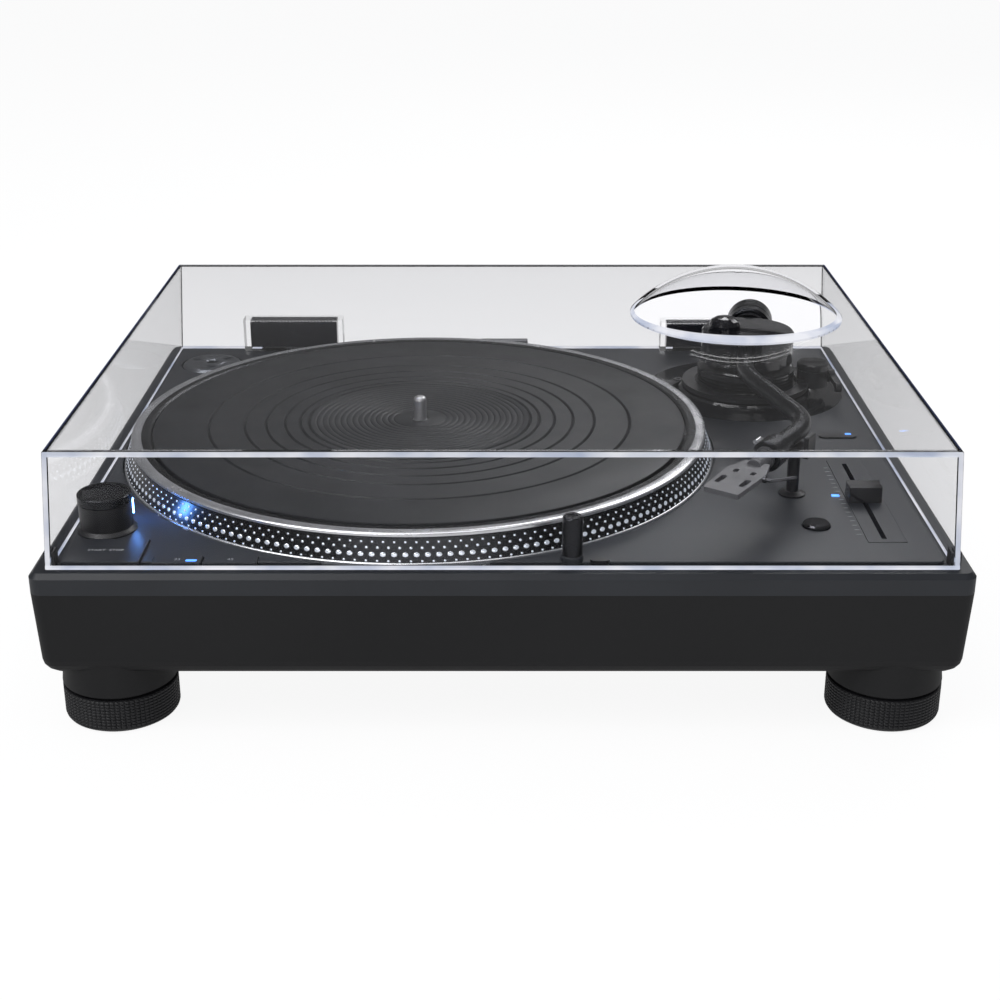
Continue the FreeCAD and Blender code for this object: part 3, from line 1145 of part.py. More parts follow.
def cue_lever():
    """A side lever on a cross shaft, pointing to the front when it is down."""
    x0 = PIVOT_X + POD_OFFSET + POD_R + CUE_GAP
    x1 = x0 + CUE_THICKNESS
    tip_y = PIVOT_Y - CUE_LENGTH + CUE_TIP_R
    hub = rod((x0, PIVOT_Y, CUE_Z), (1, 0, 0), CUE_THICKNESS, CUE_HUB_R)
    shaft = rod((x0 - CUE_SHAFT + DIAL_GAP, PIVOT_Y, CUE_Z), (1, 0, 0), CUE_SHAFT, CUE_SHAFT_R)
    arm = box(x0 + 0.6, x1 - 0.4, tip_y, PIVOT_Y, CUE_Z - 1.4, CUE_Z + 1.4)
    tip = rod((x0 + 0.2, tip_y, CUE_Z), (1, 0, 0), CUE_THICKNESS - 0.2, CUE_TIP_R)
    return fuse(hub, shaft, arm, tip)


def lift_platform():
    """A curved rail under the tube, on one guided post."""
    z1 = ARM_Z - LIFT_ARC_TOP
    z0 = z1 - LIFT_ARC_THICKNESS
    half = LIFT_ARC_WIDTH / 2
    ring = tube(PIVOT_X, PIVOT_Y, z0, z1, LIFT_RADIUS + half, LIFT_RADIUS - half)
    corners = [(PIVOT_X, PIVOT_Y)]
    for a in (LIFT_ARC[0], sum(LIFT_ARC) / 2, LIFT_ARC[1]):
        corners.append(polar(LIFT_RADIUS * 1.6, a))
    rail = ring.common(prism(corners, z0, z1))
    x, y = polar(LIFT_RADIUS, LIFT_POST_ANGLE)
    return fuse(rail, cylinder(x, y, SLIDE_TOP + DIAL_GAP, z0 + OVER, LIFT_POST_R))


def arm_lock_lever():
    """A flat lever on a pin beside the height ring, which locks the arm's height."""
    x, y = polar(LOCK_RADIUS, LOCK_ANGLE)
    z0 = PANEL_TOP + PANEL_RING_RISE + DIAL_GAP
    low, high = z0 + 0.4, z0 + LOCK_THICKNESS - 0.4
    hub = cylinder(x, y, z0, z0 + LOCK_THICKNESS, LOCK_HUB_R)
    half = LOCK_WIDTH / 2
    blade = fuse(box(0, LOCK_LENGTH, -half, half, low, high), cylinder(LOCK_LENGTH, 0, low, high, half))
    blade.rotate(vec(0, 0), Z_AXIS, LOCK_REST_TURN)
    blade.translate(vec(x, y))
    hole = cylinder(x, y, z0 - OVER, z0 + LOCK_THICKNESS + OVER, LOCK_PIN_R + RUNNING)
    return fuse(hub, blade).cut(hole)


def rest_frame(shape):
    """Places a shape drawn at the origin at the arm rest, with +X along the tube there."""
    placed = shape.copy()
    placed.rotate(vec(0, 0), Z_AXIS, -OFFSET_ANGLE)
    placed.translate(vec(REST_ALONG, REST_ASIDE))
    return in_arm_frame(placed)


CRADLE_TOP = ARM_Z - TUBE_R - REST_DROP
CLAMP_Z = CRADLE_TOP - 2.1
EAR_THICKNESS = (REST_WIDTH - CLAMP_WIDTH) / 2 - EAR_GAP


def arm_rest():
    """A post with a cradle: a prong on one side of the tube, and two ears for the clamp on the other."""
    half = REST_WIDTH / 2
    low = CRADLE_TOP - CRADLE_HEIGHT
    post = cylinder(0, 0, FIELD_Z, CRADLE_TOP - 2.0, REST_POST_R)
    flange = turned(0, 0, [(0, FIELD_Z), (7.0, FIELD_Z), (7.0, FIELD_Z + 0.8), (4.2, FIELD_Z + 2.2),
                           (0, FIELD_Z + 2.2)])
    cradle = box(-half, half, CLAMP_SIDE + 3.0, PRONG_SIDE, low, CRADLE_TOP)
    prong = box(-half, half, PRONG_SIDE - PRONG_THICKNESS, PRONG_SIDE, CRADLE_TOP - OVER, CRADLE_TOP + PRONG_RISE)
    prong = prong.makeFillet(1.0, [e for e in prong.Edges if e.BoundBox.ZMin > CRADLE_TOP])
    ears = []
    for x0 in (-half, half - EAR_THICKNESS):
        ears.append(box(x0, x0 + EAR_THICKNESS, CLAMP_SIDE, CLAMP_SIDE + 3.5, low, CRADLE_TOP - 0.2))
        ears.append(rod((x0, CLAMP_SIDE, CLAMP_Z), (1, 0, 0), EAR_THICKNESS, CLAMP_BARREL_R))
    pin = rod((-half, CLAMP_SIDE, CLAMP_Z), (1, 0, 0), REST_WIDTH, CLAMP_PIN_R)
    return rest_frame(fuse(post, flange, cradle, prong, *ears, pin))


def arm_clamp():
    """A small chrome lever that swings up beside the tube; open, it points to the left."""
    half = CLAMP_WIDTH / 2
    end = CLAMP_SIDE - CLAMP_LENGTH
    barrel = rod((-half, CLAMP_SIDE, CLAMP_Z), (1, 0, 0), CLAMP_WIDTH, CLAMP_BARREL_R)
    arm = box(-half, half, end, CLAMP_SIDE, CLAMP_Z - 1.0, CLAMP_Z + 0.8)
    tip = rod((-half, end, CLAMP_Z - 0.1), (1, 0, 0), CLAMP_WIDTH, 1.3)
    bore = rod((-half - OVER, CLAMP_SIDE, CLAMP_Z), (1, 0, 0), CLAMP_WIDTH + 2 * OVER, CLAMP_PIN_R + RUNNING)
    return rest_frame(fuse(barrel, arm, tip).cut(bore))


# Controls

def tower_direction():
    """The direction from the strobe tower to the spindle, in degrees."""
    return math.degrees(math.atan2(SPINDLE_Y - FRONT - TOWER_AT[1], SPINDLE_X - LEFT - TOWER_AT[0]))


def at_tower(shape):
    placed = shape.copy()
    placed.rotate(vec(0, 0), Z_AXIS, tower_direction())
    placed.translate(vec(LEFT + TOWER_AT[0], FRONT + TOWER_AT[1]))
    return placed


def window_block(height_margin=0.0):
    z1 = FIELD_Z + TOWER_HEIGHT - 0.7
    return box(TOWER_R - WINDOW_DEPTH + WINDOW_PROUD, TOWER_R + WINDOW_PROUD, -WINDOW_WIDTH / 2,
               WINDOW_WIDTH / 2, z1 - WINDOW_HEIGHT, z1 + height_margin)


def strobe_tower():
    z = FIELD_Z
    body = turned(0, 0, [(0, z), (TOWER_FLARE_R, z), (TOWER_FLARE_R, z + 0.8), (TOWER_R, z + 2.4),
                         (TOWER_R, z + TOWER_HEIGHT), (DIAL_SHAFT_R, z + TOWER_HEIGHT),
                         (DIAL_SHAFT_R, z + TOWER_HEIGHT + DIAL_SHAFT), (0, z + TOWER_HEIGHT + DIAL_SHAFT)])
    return at_tower(body.cut(window_block()))


def strobe_window():
    block = window_block()
    outer_edges = [e for e in upright_edges(block) if e.BoundBox.XMin > TOWER_R]
    return at_tower(block.makeFillet(0.4, outer_edges))


def power_dial():
    """A cap with a raised rim and a sunk top, on the tower's shaft."""
    z0 = FIELD_Z + TOWER_HEIGHT + DIAL_CAP_GAP
    z1 = z0 + DIAL_CAP_HEIGHT
    bore = DIAL_SHAFT_R + RUNNING
    rim, sunk = DIAL_CAP_R - 1.8, z1 - 0.9
    return at_tower(turned(0, 0, [(bore, z0), (DIAL_CAP_R, z0), (DIAL_CAP_R, z1 - 0.5), (DIAL_CAP_R - 0.5, z1),
                                  (rim, z1), (rim - 0.5, sunk), (0, sunk),
                                  (0, z0 + DIAL_BORE_DEPTH), (bore, z0 + DIAL_BORE_DEPTH)]))


def with_stem(cap, centre, cap_bottom):
    return fuse(cap, cylinder(*centre, cap_bottom - STEM_LENGTH, cap_bottom + 1.0, STEM_R))


def flat_button(size, name, rise):
    top = FIELD_Z + rise
    cap = button_box(size, top - BUTTON_THICKNESS, top)
    cap = cap.makeFillet(0.4, edges_at(cap, top))
    return with_stem(cap, PRESS_BUTTONS[name], top - BUTTON_THICKNESS)


def reset_button():
    x, y = PRESS_BUTTONS["reset"]
    top = FIELD_Z + RESET_RISE
    low = top - RESET_THICKNESS
    cap = turned(x, y, [(0, low), (RESET_R, low), (RESET_R, top - 0.9), (RESET_R - 0.9, top), (0, top)])
    return with_stem(cap, (x, y), low)


def pill_button(name, size, rise):
    x, y = PRESS_BUTTONS[name]
    top = FIELD_Z + rise
    cap = pill(x, y, top - BUTTON_THICKNESS, top, *size)
    return with_stem(cap, (x, y), top - BUTTON_THICKNESS)


def target_lamp():
    z1 = FIELD_Z + LAMP_TOP
    return turned(LAMP_X, LAMP_Y, [(0, z1 - LAMP_LENGTH), (LAMP_R, z1 - LAMP_LENGTH), (LAMP_R, z1 - 0.8),
                                   (LAMP_R - 0.8, z1), (2.6, z1), (2.2, z1 - 0.6), (0, z1 - 0.6)])


def pitch_frame(z0, z1, margin):
    x0, x1 = RIGHT - PITCH_FRAME[1], RIGHT - PITCH_FRAME[0]
    y0, y1 = FRONT + PITCH_FRAME[2], FRONT + PITCH_FRAME[3]
    return box(x0 - margin, x1 + margin, y0 - margin, y1 + margin, z0, z1)


def pitch_slot(z0, z1, margin):
    x = RIGHT - PITCH_SLOT[0]
    half = PITCH_SLOT_WIDTH / 2 + margin
    return box(x - half, x + half, FRONT + PITCH_SLOT[1] - margin, FRONT + PITCH_SLOT[2] + margin, z0, z1)


def pitch_plate():
    z0 = FIELD_Z - PITCH_PLATE_THICKNESS + 0.2
    plate = pitch_frame(z0, z0 + PITCH_PLATE_THICKNESS, 0.0)
    return plate.cut(pitch_slot(z0 - OVER, z0 + 3.0, 0.0))


def pitch_centre_y():
    return FRONT + (PITCH_SLOT[1] + PITCH_SLOT[2]) / 2


def fader_track():
    x = RIGHT - PITCH_SLOT[0]
    z0 = CAVITY_TOP - TRACK_SIZE[1]
    body = box(x - TRACK_SIZE[0] / 2, x + TRACK_SIZE[0] / 2, FRONT + PITCH_SLOT[1] - 4.0,
               FRONT + PITCH_SLOT[2] + 4.0, z0, CAVITY_TOP)
    return body.cut(pitch_slot(z0 + 3.0, CAVITY_TOP + OVER, 0.0))


def pitch_fader():
    """A knob with a grip trough across its top, on a stem through the slot."""
    x, y = RIGHT - PITCH_SLOT[0], pitch_centre_y()
    w, d, h = PITCH_KNOB
    z0 = FIELD_Z + 0.5
    half = [(0, z0), (d / 2, z0), (d / 2 - 1.0, z0 + h - 1.0), (d / 2 - 2.5, z0 + h), (d / 2 - 4.0, z0 + h - 1.2)]
    side = half[1:] + [(-across, z) for across, z in reversed(half[1:])]
    wire = Part.makePolygon([vec(x - w / 2, y + across, z) for across, z in side + side[:1]])
    knob = Part.Face(wire).extrude(vec(w, 0))
    stem_w, stem_d = PITCH_STEM
    stem_z = CAVITY_TOP - TRACK_SIZE[1] + PITCH_STEM_FOOT
    stem = box(x - stem_w / 2, x + stem_w / 2, y - stem_d / 2, y + stem_d / 2, stem_z, z0 + OVER)
    return fuse(knob, stem)


def adapter_45():
    """A low puck with three curved recesses in its top, each where two circles overlap."""
    x, y = LEFT + ADAPTER_AT[0], REAR - ADAPTER_AT[1]
    z0 = FIELD_Z - ADAPTER_SINK
    z1 = z0 + ADAPTER_HEIGHT
    bore = SPINDLE_R + RUNNING
    body = turned(x, y, [(bore, z0), (ADAPTER_R, z0), (ADAPTER_R, z1 - 2.4), (ADAPTER_R - 1.6, z1 - 0.8),
                         (ADAPTER_R - 3.2, z1 - 0.4), (bore + 5.4, z1 - 0.4), (bore + 4.4, z1),
                         (bore + 0.8, z1), (bore, z1 - 0.8)])
    recesses = []
    for i in range(3):
        tools = []
        for degrees in (120 * i, 120 * i + RECESS_SPREAD):
            a = math.radians(degrees)
            tools.append(cylinder(x + RECESS_THROW * math.cos(a), y + RECESS_THROW * math.sin(a),
                                  z1 - RECESS_DEPTH, z1 + OVER, RECESS_CIRCLE))
        ring = tube(x, y, z1 - RECESS_DEPTH, z1 + OVER, ADAPTER_R - 3.4, bore + 5.6)
        recesses.append(tools[0].common(tools[1]).common(ring))
    return cut(body, *recesses)


def nameplate():
    x, w, t, h = NAMEPLATE
    plate = box(x - w / 2, x + w / 2, FIELD_BACK - t, FIELD_BACK, FIELD_Z, FIELD_Z + h)
    return plate.makeFillet(0.6, edges_at(plate, FIELD_Z + h))


# Rear and inside

def terminal_panel():
    x0, x1 = RIGHT - TERMINAL_POCKET[1] + PANEL_FIT, RIGHT - TERMINAL_POCKET[0] - PANEL_FIT
    y0 = REAR - TERMINAL_DEPTH
    plate = box(x0, x1, y0, y0 + TERMINAL_PLATE, TERMINAL_Z[0] + PANEL_FIT, TERMINAL_Z[1] - PANEL_FIT)
    ex = x0 - PANEL_FIT + JACK_FIRST + JACK_SPACING + EARTH_FROM_JACK
    stud = rod((ex, y0 + TERMINAL_PLATE - OVER, JACK_Z), (0, 1, 0), JACK_LENGTH + OVER, EARTH_R)
    return fuse(plate, stud)


def phono_jacks():
    jacks = []
    y0 = REAR - TERMINAL_DEPTH + TERMINAL_PLATE
    end = y0 + JACK_LENGTH
    for i in range(2):
        x = RIGHT - TERMINAL_POCKET[1] + JACK_FIRST + i * JACK_SPACING
        corners = []
        for k in range(6):
            a = math.radians(60 * k)
            corners.append((x + JACK_NUT_R * math.cos(a), JACK_NUT_R * math.sin(a)))
        nut = prism(corners, 0, JACK_NUT)
        nut.rotate(vec(x, 0), vec(1, 0, 0), -90)
        nut.translate(vec(0, y0, JACK_Z))
        jack = fuse(nut, rod((x, y0, JACK_Z), (0, 1, 0), JACK_LENGTH, JACK_R))
        ring = rod((x, end - 2.0, JACK_Z), (0, 1, 0), 3.0, JACK_R - 0.8)
        core = rod((x, end - 3.0, JACK_Z), (0, 1, 0), 3.0, JACK_R - 1.6)
        hole = rod((x, y0 + JACK_NUT + 0.5, JACK_Z), (0, 1, 0), JACK_LENGTH, JACK_HOLE_R)
        jacks.append(jack.cut(ring.cut(core)).cut(hole))
    return jacks


def earth_knob():
    x = RIGHT - TERMINAL_POCKET[1] + JACK_FIRST + JACK_SPACING + EARTH_FROM_JACK
    y = REAR - TERMINAL_DEPTH + TERMINAL_PLATE + EARTH_GAP
    knob = rod((x, y, JACK_Z), (0, 1, 0), EARTH_KNOB, EARTH_KNOB_R)
    knob = knob.makeChamfer(0.6, [e for e in knob.Edges if e.BoundBox.YLength < 0.001])
    return knob.cut(rod((x, y - OVER, JACK_Z), (0, 1, 0), EARTH_KNOB + 2 * OVER, EARTH_R + RUNNING))


def mains_inlet():
    """A socket with a six-sided mouth and three flat pins, held by a flange behind the wall."""
    x = LEFT + INLET_AT
    w, h = INLET_SIZE
    mw, mh = INLET_MOUTH
    floor_y = REAR - INLET_MOUTH_DEPTH - OVER
    body = box(x - w / 2, x + w / 2, REAR - INLET_DEPTH - OVER, REAR - OVER, INLET_Z - h / 2, INLET_Z + h / 2)
    mouth = [(-mw / 2, -mh / 2), (mw / 2, -mh / 2), (mw / 2, mh / 2 - INLET_BEVEL), (mw / 2 - INLET_BEVEL, mh / 2),
             (-mw / 2 + INLET_BEVEL, mh / 2), (-mw / 2, mh / 2 - INLET_BEVEL)]
    wire = Part.makePolygon([vec(x + across, REAR, INLET_Z + up) for across, up in mouth + mouth[:1]])
    cavity = Part.Face(wire).extrude(vec(0, floor_y - REAR, 0))
    back = REAR - WALL
    flange = box(x - w / 2 - INLET_FLANGE, x + w / 2 + INLET_FLANGE, back - INLET_FLANGE, back,
                 INLET_Z - h / 2 - INLET_FLANGE, INLET_Z + h / 2 + INLET_FLANGE)
    pins = []
    for across, up in INLET_PINS:
        pins.append(box(x + across - 1.0, x + across + 1.0, floor_y - OVER, floor_y + INLET_PIN_LENGTH,
                        INLET_Z + up - 2.0, INLET_Z + up + 2.0))
    return fuse(fuse(body, flange).cut(cavity), *pins)


SUPPLY_BOX = (66.5, 156.5, 44.0, 124.0)     # from the left side and from the rear face
BOARD_BOX = (66.5, 166.5, 36.0, 126.0)      # from the right side and from the front


def corners_of(x0, x1, y0, y1, inset):
    return [(x, y) for x in (x0 + inset, x1 - inset) for y in (y0 + inset, y1 - inset)]


def supply_area():
    return LEFT + SUPPLY_BOX[0], LEFT + SUPPLY_BOX[1], REAR - SUPPLY_BOX[3], REAR - SUPPLY_BOX[2]


def board_area():
    return RIGHT - BOARD_BOX[1], RIGHT - BOARD_BOX[0], FRONT + BOARD_BOX[2], FRONT + BOARD_BOX[3]


def supply_posts():
    return corners_of(*supply_area(), POST_INSET)


def board_posts():
    return corners_of(*board_area(), POST_INSET)


def power_supply():
    x0, x1, y0, y1 = supply_area()
    z0 = FLOOR_Z + STANDOFF
    z1 = z0 + BOARD_THICKNESS
    pieces = [box(x0, x1, y0, y1, z0, z1),
              box(x0 + 14, x0 + 50, y0 + 14, y0 + 46, z1 - 0.5, z1 + 22.0),
              box(x0 + 20, x0 + 44, y0 + 10, y0 + 50, z1 - 0.5, z1 + 15.0)]
    for i in range(3):
        pieces.append(cylinder(x1 - 14.0, y0 + 18.0 + i * 16.0, z1 - 0.5, z1 + 18.0, 6.0))
    for i in range(5):
        pieces.append(box(x0 + 14 + i * 7.0, x0 + 16 + i * 7.0, y1 - 20, y1 - 6, z1 - 0.5, z1 + 16.0))
    pieces.append(box(x0 + 14, x0 + 44, y1 - 14, y1 - 12, z1 - 0.5, z1 + 16.0))
    return fuse(*pieces)


def control_board():
    x0, x1, y0, y1 = board_area()
    z0 = FLOOR_Z + STANDOFF
    z1 = z0 + BOARD_THICKNESS
    pieces = [box(x0, x1, y0, y1, z0, z1), box(x0 + 30, x0 + 44, y0 + 38, y0 + 52, z1 - 0.5, z1 + 1.6),
              box(x0 + 60, x0 + 70, y0 + 30, y0 + 36, z1 - 0.5, z1 + 1.6),
              box(x0 + 14, x0 + 40, y1 - 12, y1 - 6, z1 - 0.5, z1 + 8.0)]
    for i in range(4):
        pieces.append(cylinder(x0 + 56.0 + i * 9.0, y1 - 20.0, z1 - 0.5, z1 + 9.0, 3.2))
    return fuse(*pieces)


def build():
    os.makedirs("parts", exist_ok=True)
    save("top_chassis", top_chassis())
    save("base_housing", base_housing())
    for node, x, y in foot_places():
        save(node, foot(x, y))
    save("bottom_screws", *bottom_screws())
    save("dust_cover", *dust_cover())
    save("cover_dome", cover_dome())
    save("cover_cushions", *cover_cushions())
    save("hinge_arms", *[hinge_arm(x) for x in HINGE_XS])
    save("hinge_bases", *[hinge_base(x) for x in HINGE_XS])
    half = HINGE_WIDTH / 2
    save("hinge_pins", *[along_x(x - half, x + half, HINGE_Y, HINGE_Z, HINGE_PIN_R) for x in HINGE_XS])
    save("platter", platter())
    save("platter_mat", platter_mat())
    save("spindle", spindle())
    save("rotor_yoke", rotor_yoke())
    save("rotor_magnet", rotor_magnet())
    save("stator_plate", stator_plate())
    save("stator_coils", *stator_coils())
    save("spindle_bearing", spindle_bearing())
    save("arm_tube", arm_tube())
    save("collar_nut", collar_nut())
    save("headshell", headshell())
    save("finger_lift", finger_lift())
    save("gimbal", gimbal())
    save("pivot_screws", *pivot_screws())
    save("weight_scale_ring", weight_scale_ring())
    save("counterweight", counterweight())
    save("arm_base", arm_base())
    save("height_ring", height_ring())
    save("arm_pedestal", arm_pedestal())
    save("control_pod", control_pod())
    save("anti_skate_dial", anti_skate_dial())
    save("cue_lever", cue_lever())
    save("lift_platform", lift_platform())
    save("arm_lock_lever", arm_lock_lever())
    save("arm_rest", arm_rest())
    save("arm_clamp", arm_clamp())
    save("strobe_tower", strobe_tower())
    save("strobe_window", strobe_window())
    save("power_dial", power_dial())
    save("start_stop_button", flat_button(START_BUTTON, "start", START_HEIGHT))
    save("button_33", flat_button(BUTTON_33, "33", SPEED_BUTTON_HEIGHT))
    save("button_45", flat_button(BUTTON_45, "45", SPEED_BUTTON_HEIGHT))
    save("reset_button", reset_button())
    save("button_x2", pill_button("double", DOUBLE_SIZE, DOUBLE_RISE))
    save("lamp_button", pill_button("lamp", LAMP_BUTTON_SIZE, LAMP_BUTTON_RISE))
    save("target_lamp", target_lamp())
    save("pitch_plate", pitch_plate())
    save("fader_track", fader_track())
    save("pitch_fader", pitch_fader())
    save("adapter_45", adapter_45())
    save("nameplate", nameplate())
    save("terminal_panel", terminal_panel())
    save("phono_jacks", *phono_jacks())
    save("earth_knob", earth_knob())
    save("mains_inlet", mains_inlet())
    save("power_supply", power_supply())
    save("control_board", control_board())


build()
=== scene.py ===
# %% [markdown]
# # A record player and its clear cover
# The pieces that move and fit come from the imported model, which is loaded as a fixed frame.
# This file gives every surface its finish, and adds what is too fine for the solids: the strobe dots,
# the grooves of the mat, the knurled feet, the lamps, the marks and the bright rims.

# %% Load the frame
import math
import bpy
import numpy as np
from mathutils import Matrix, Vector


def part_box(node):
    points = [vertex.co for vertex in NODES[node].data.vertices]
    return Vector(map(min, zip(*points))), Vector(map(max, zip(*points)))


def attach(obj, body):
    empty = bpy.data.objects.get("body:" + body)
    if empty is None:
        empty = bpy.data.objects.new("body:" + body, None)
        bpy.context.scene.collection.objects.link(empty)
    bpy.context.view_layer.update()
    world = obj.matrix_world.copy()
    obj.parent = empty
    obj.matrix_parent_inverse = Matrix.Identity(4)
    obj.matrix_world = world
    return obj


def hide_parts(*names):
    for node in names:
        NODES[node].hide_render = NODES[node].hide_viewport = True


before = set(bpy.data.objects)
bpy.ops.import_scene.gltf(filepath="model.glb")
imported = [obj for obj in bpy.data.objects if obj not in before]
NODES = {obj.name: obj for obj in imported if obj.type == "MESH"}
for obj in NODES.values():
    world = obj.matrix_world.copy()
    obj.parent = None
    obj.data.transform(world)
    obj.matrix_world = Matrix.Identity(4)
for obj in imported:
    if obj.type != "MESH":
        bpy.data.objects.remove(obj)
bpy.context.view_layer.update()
MM = 0.001
print("nodes in the frame:", len(NODES))

# %% [markdown]
# ## The camera
# A photograph of a product is nearly always taken from far off with a long lens. The distance, the height
# and the tilt here were worked out from the edges of the plinth and the cover. A lens of 59 mm on a 36 mm
# sensor gives the same strength of perspective as the picture.

# %% Camera
FOCAL_PIXELS = 1642.6
FRAME_PIXELS = 1000
SENSOR_MM = 36.0
CAMERA_AT = (-0.0012, -0.8933, 0.4144)
TILT_DOWN = 22.24


def place_camera():
    data = bpy.data.cameras.new("camera")
    data.sensor_width = SENSOR_MM
    data.lens = FOCAL_PIXELS * SENSOR_MM / FRAME_PIXELS
    data.clip_start = 0.01
    camera = bpy.data.objects.new("camera", data)
    camera.location = CAMERA_AT
    camera.rotation_euler = (math.radians(90 - TILT_DOWN), 0, 0)
    bpy.context.scene.collection.objects.link(camera)
    bpy.context.scene.camera = camera
    print("lens in mm:", round(data.lens, 1))


place_camera()

# %% [markdown]
# ## Materials
# A finish could be one flat colour, but then it looks like flat paint. Each one here starts from a single
# Principled shader, because that shader covers rubber, paint, metal and clear plastic alike. The small
# helpers below add a node and join two sockets, on a material or on the world.

# %% A plain finish
def finish(name, colour, roughness, metallic=0.0, **sockets):
    """A Principled material; colour is linear red, green and blue."""
    material = bpy.data.materials.new(name)
    material.use_nodes = True
    shader = material.node_tree.nodes["Principled BSDF"]
    shader.inputs["Base Color"].default_value = (*colour, 1.0)
    shader.inputs["Roughness"].default_value = roughness
    shader.inputs["Metallic"].default_value = metallic
    for socket, value in sockets.items():
        shader.inputs[socket.replace("_", " ")].default_value = value
    return material


def shader_of(material):
    return material.node_tree.nodes["Principled BSDF"]


def add_node(owner, kind, **inputs):
    """A new node in a material or in the world, with plain values on its inputs."""
    node = owner.node_tree.nodes.new(kind)
    for socket, value in inputs.items():
        node.inputs[socket.replace("_", " ")].default_value = value
    return node


def link(owner, output, target):
    owner.node_tree.links.new(output, target)


# %% [markdown]
# ### Patterns
# A real surface varies slowly in colour and in gloss, because it was handled, sprayed or moulded. Cloudy noise
# makes both. It reads Object coordinates, so that the pattern stays on the piece when it moves.

# %% Patterns over a surface
def coordinates(material, centre=(0, 0, 0), stretch=(1, 1, 1)):
    """Object coordinates in metres, counted from a centre and stretched."""
    source = add_node(material, "ShaderNodeTexCoord")
    shift = add_node(material, "ShaderNodeMapping")
    shift.inputs["Location"].default_value = [-c for c in centre]
    link(material, source.outputs["Object"], shift.inputs["Vector"])
    scale = add_node(material, "ShaderNodeMapping")
    scale.inputs["Scale"].default_value = stretch
    link(material, shift.outputs["Vector"], scale.inputs["Vector"])
    return scale.outputs["Vector"]


def noise(material, size, detail=3.0, stretch=(1, 1, 1)):
    """Cloudy noise whose blobs are about size metres across."""
    node = add_node(material, "ShaderNodeTexNoise", Scale=1.0 / size, Detail=detail)
    link(material, coordinates(material, stretch=stretch), node.inputs["Vector"])
    return node.outputs["Fac"]


def between(material, value, low, high):
    """The middle of a noise's range, spread over the numbers from low to high."""
    node = add_node(material, "ShaderNodeMapRange", From_Min=0.3, From_Max=0.7, To_Min=low, To_Max=high)
    link(material, value, node.inputs["Value"])
    return node.outputs["Result"]


def shaded(material, value, low, high, colours):
    """The first colour below low, the second above high, and a blend between."""
    node = add_node(material, "ShaderNodeValToRGB")
    for element, position, colour in zip(node.color_ramp.elements, (low, high), colours):
        element.position = position
        element.color = (*colour, 1.0)
    link(material, value, node.inputs["Fac"])
    return node.outputs["Color"]


def tint(material, size, dark, light):
    colour = shaded(material, noise(material, size), 0.35, 0.65, (dark, light))
    link(material, colour, shader_of(material).inputs["Base Color"])


def patina(material, size, low, high, stretch=(1, 1, 1)):
    roughness = between(material, noise(material, size, stretch=stretch), low, high)
    link(material, roughness, shader_of(material).inputs["Roughness"])


# %% [markdown]
# ### Grain
# Grain too fine for the mesh goes into the bump. Where a finish has two grains, the second bump reads the
# first one's normals, so that both show.

# %% Grain
def relief(material, height, strength, depth):
    """Adds a bump after any bump that is there already."""
    node = add_node(material, "ShaderNodeBump", Strength=strength, Distance=depth)
    link(material, height, node.inputs["Height"])
    normal = shader_of(material).inputs["Normal"]
    if normal.is_linked:
        link(material, normal.links[0].from_socket, node.inputs["Normal"])
    link(material, node.outputs["Normal"], normal)


def dress(material, *names):
    """Puts one material on each of the named nodes."""
    for name in names:
        slots = NODES[name].material_slots
        for slot in slots:
            slot.material = material
        if not slots:
            NODES[name].data.materials.append(material)
    print(material.name, "on", len(names), "nodes")


# %% [markdown]
# ### The deck and the base
# The deck is die-cast metal with a fine-textured black paint that looks slate blue where light grazes it.
# The base under it is a moulded rubber-like compound: blacker, softer and without a gleam. Two sizes of
# noise make both: grains of under a millimetre in the bump, and clouds of a few centimetres in
# the roughness, which is what a hand leaves on such a surface.

# %% Deck and base finishes
def painted_deck():
    paint = finish("deck_paint", (0.020, 0.022, 0.028), 0.42, Specular_IOR_Level=0.5)
    tint(paint, 0.09, (0.018, 0.020, 0.025), (0.023, 0.026, 0.032))
    patina(paint, 0.05, 0.39, 0.45)
    relief(paint, noise(paint, 0.0004, 1.0), 0.04, 0.0001)
    return paint


def moulded_base():
    body = finish("base_compound", (0.010, 0.010, 0.011), 0.55, Specular_IOR_Level=0.35)
    tint(body, 0.12, (0.0085, 0.0085, 0.0095), (0.012, 0.012, 0.013))
    patina(body, 0.06, 0.50, 0.60)
    relief(body, noise(body, 0.0007, 2.0), 0.08, 0.0002)
    return body


dress(painted_deck(), "top_chassis", "start_stop_button", "button_33", "button_45", "pitch_plate")
dress(moulded_base(), "base_housing")

# %% [markdown]
# ### The clear cover
# The cover is a solid with real wall thickness and full transmission. Acrylic has an index of 1.49, but at
# this flat angle four such surfaces veil what lies behind them. A picture of a clean cover in a dark-walled
# studio shows hardly any veil, so the walls get a lower index, and the dome, which shows only a faint
# outline, a lower one still.

# %% Places on the cover
COVER_LOW, COVER_HIGH = 0.0870, 0.1460
COVER_HALF, COVER_LEAN = 0.2185, 0.0035
COVER_FRONT, FRONT_LEAN = -0.1807, 0.0030
COVER_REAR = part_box("dust_cover")[1][1]


def maths(owner, operation, *values):
    """One maths node; its values are sockets or plain numbers."""
    node = add_node(owner, "ShaderNodeMath")
    node.operation = operation
    for slot, value in zip(node.inputs, values):
        if isinstance(value, (int, float)):
            slot.default_value = value
        else:
            link(owner, value, slot)
    return node.outputs[0]


def axes_of(material):
    """X, Y and Z of a point, each as a socket."""
    axes = add_node(material, "ShaderNodeSeparateXYZ")
    link(material, coordinates(material), axes.inputs[0])
    return axes.outputs


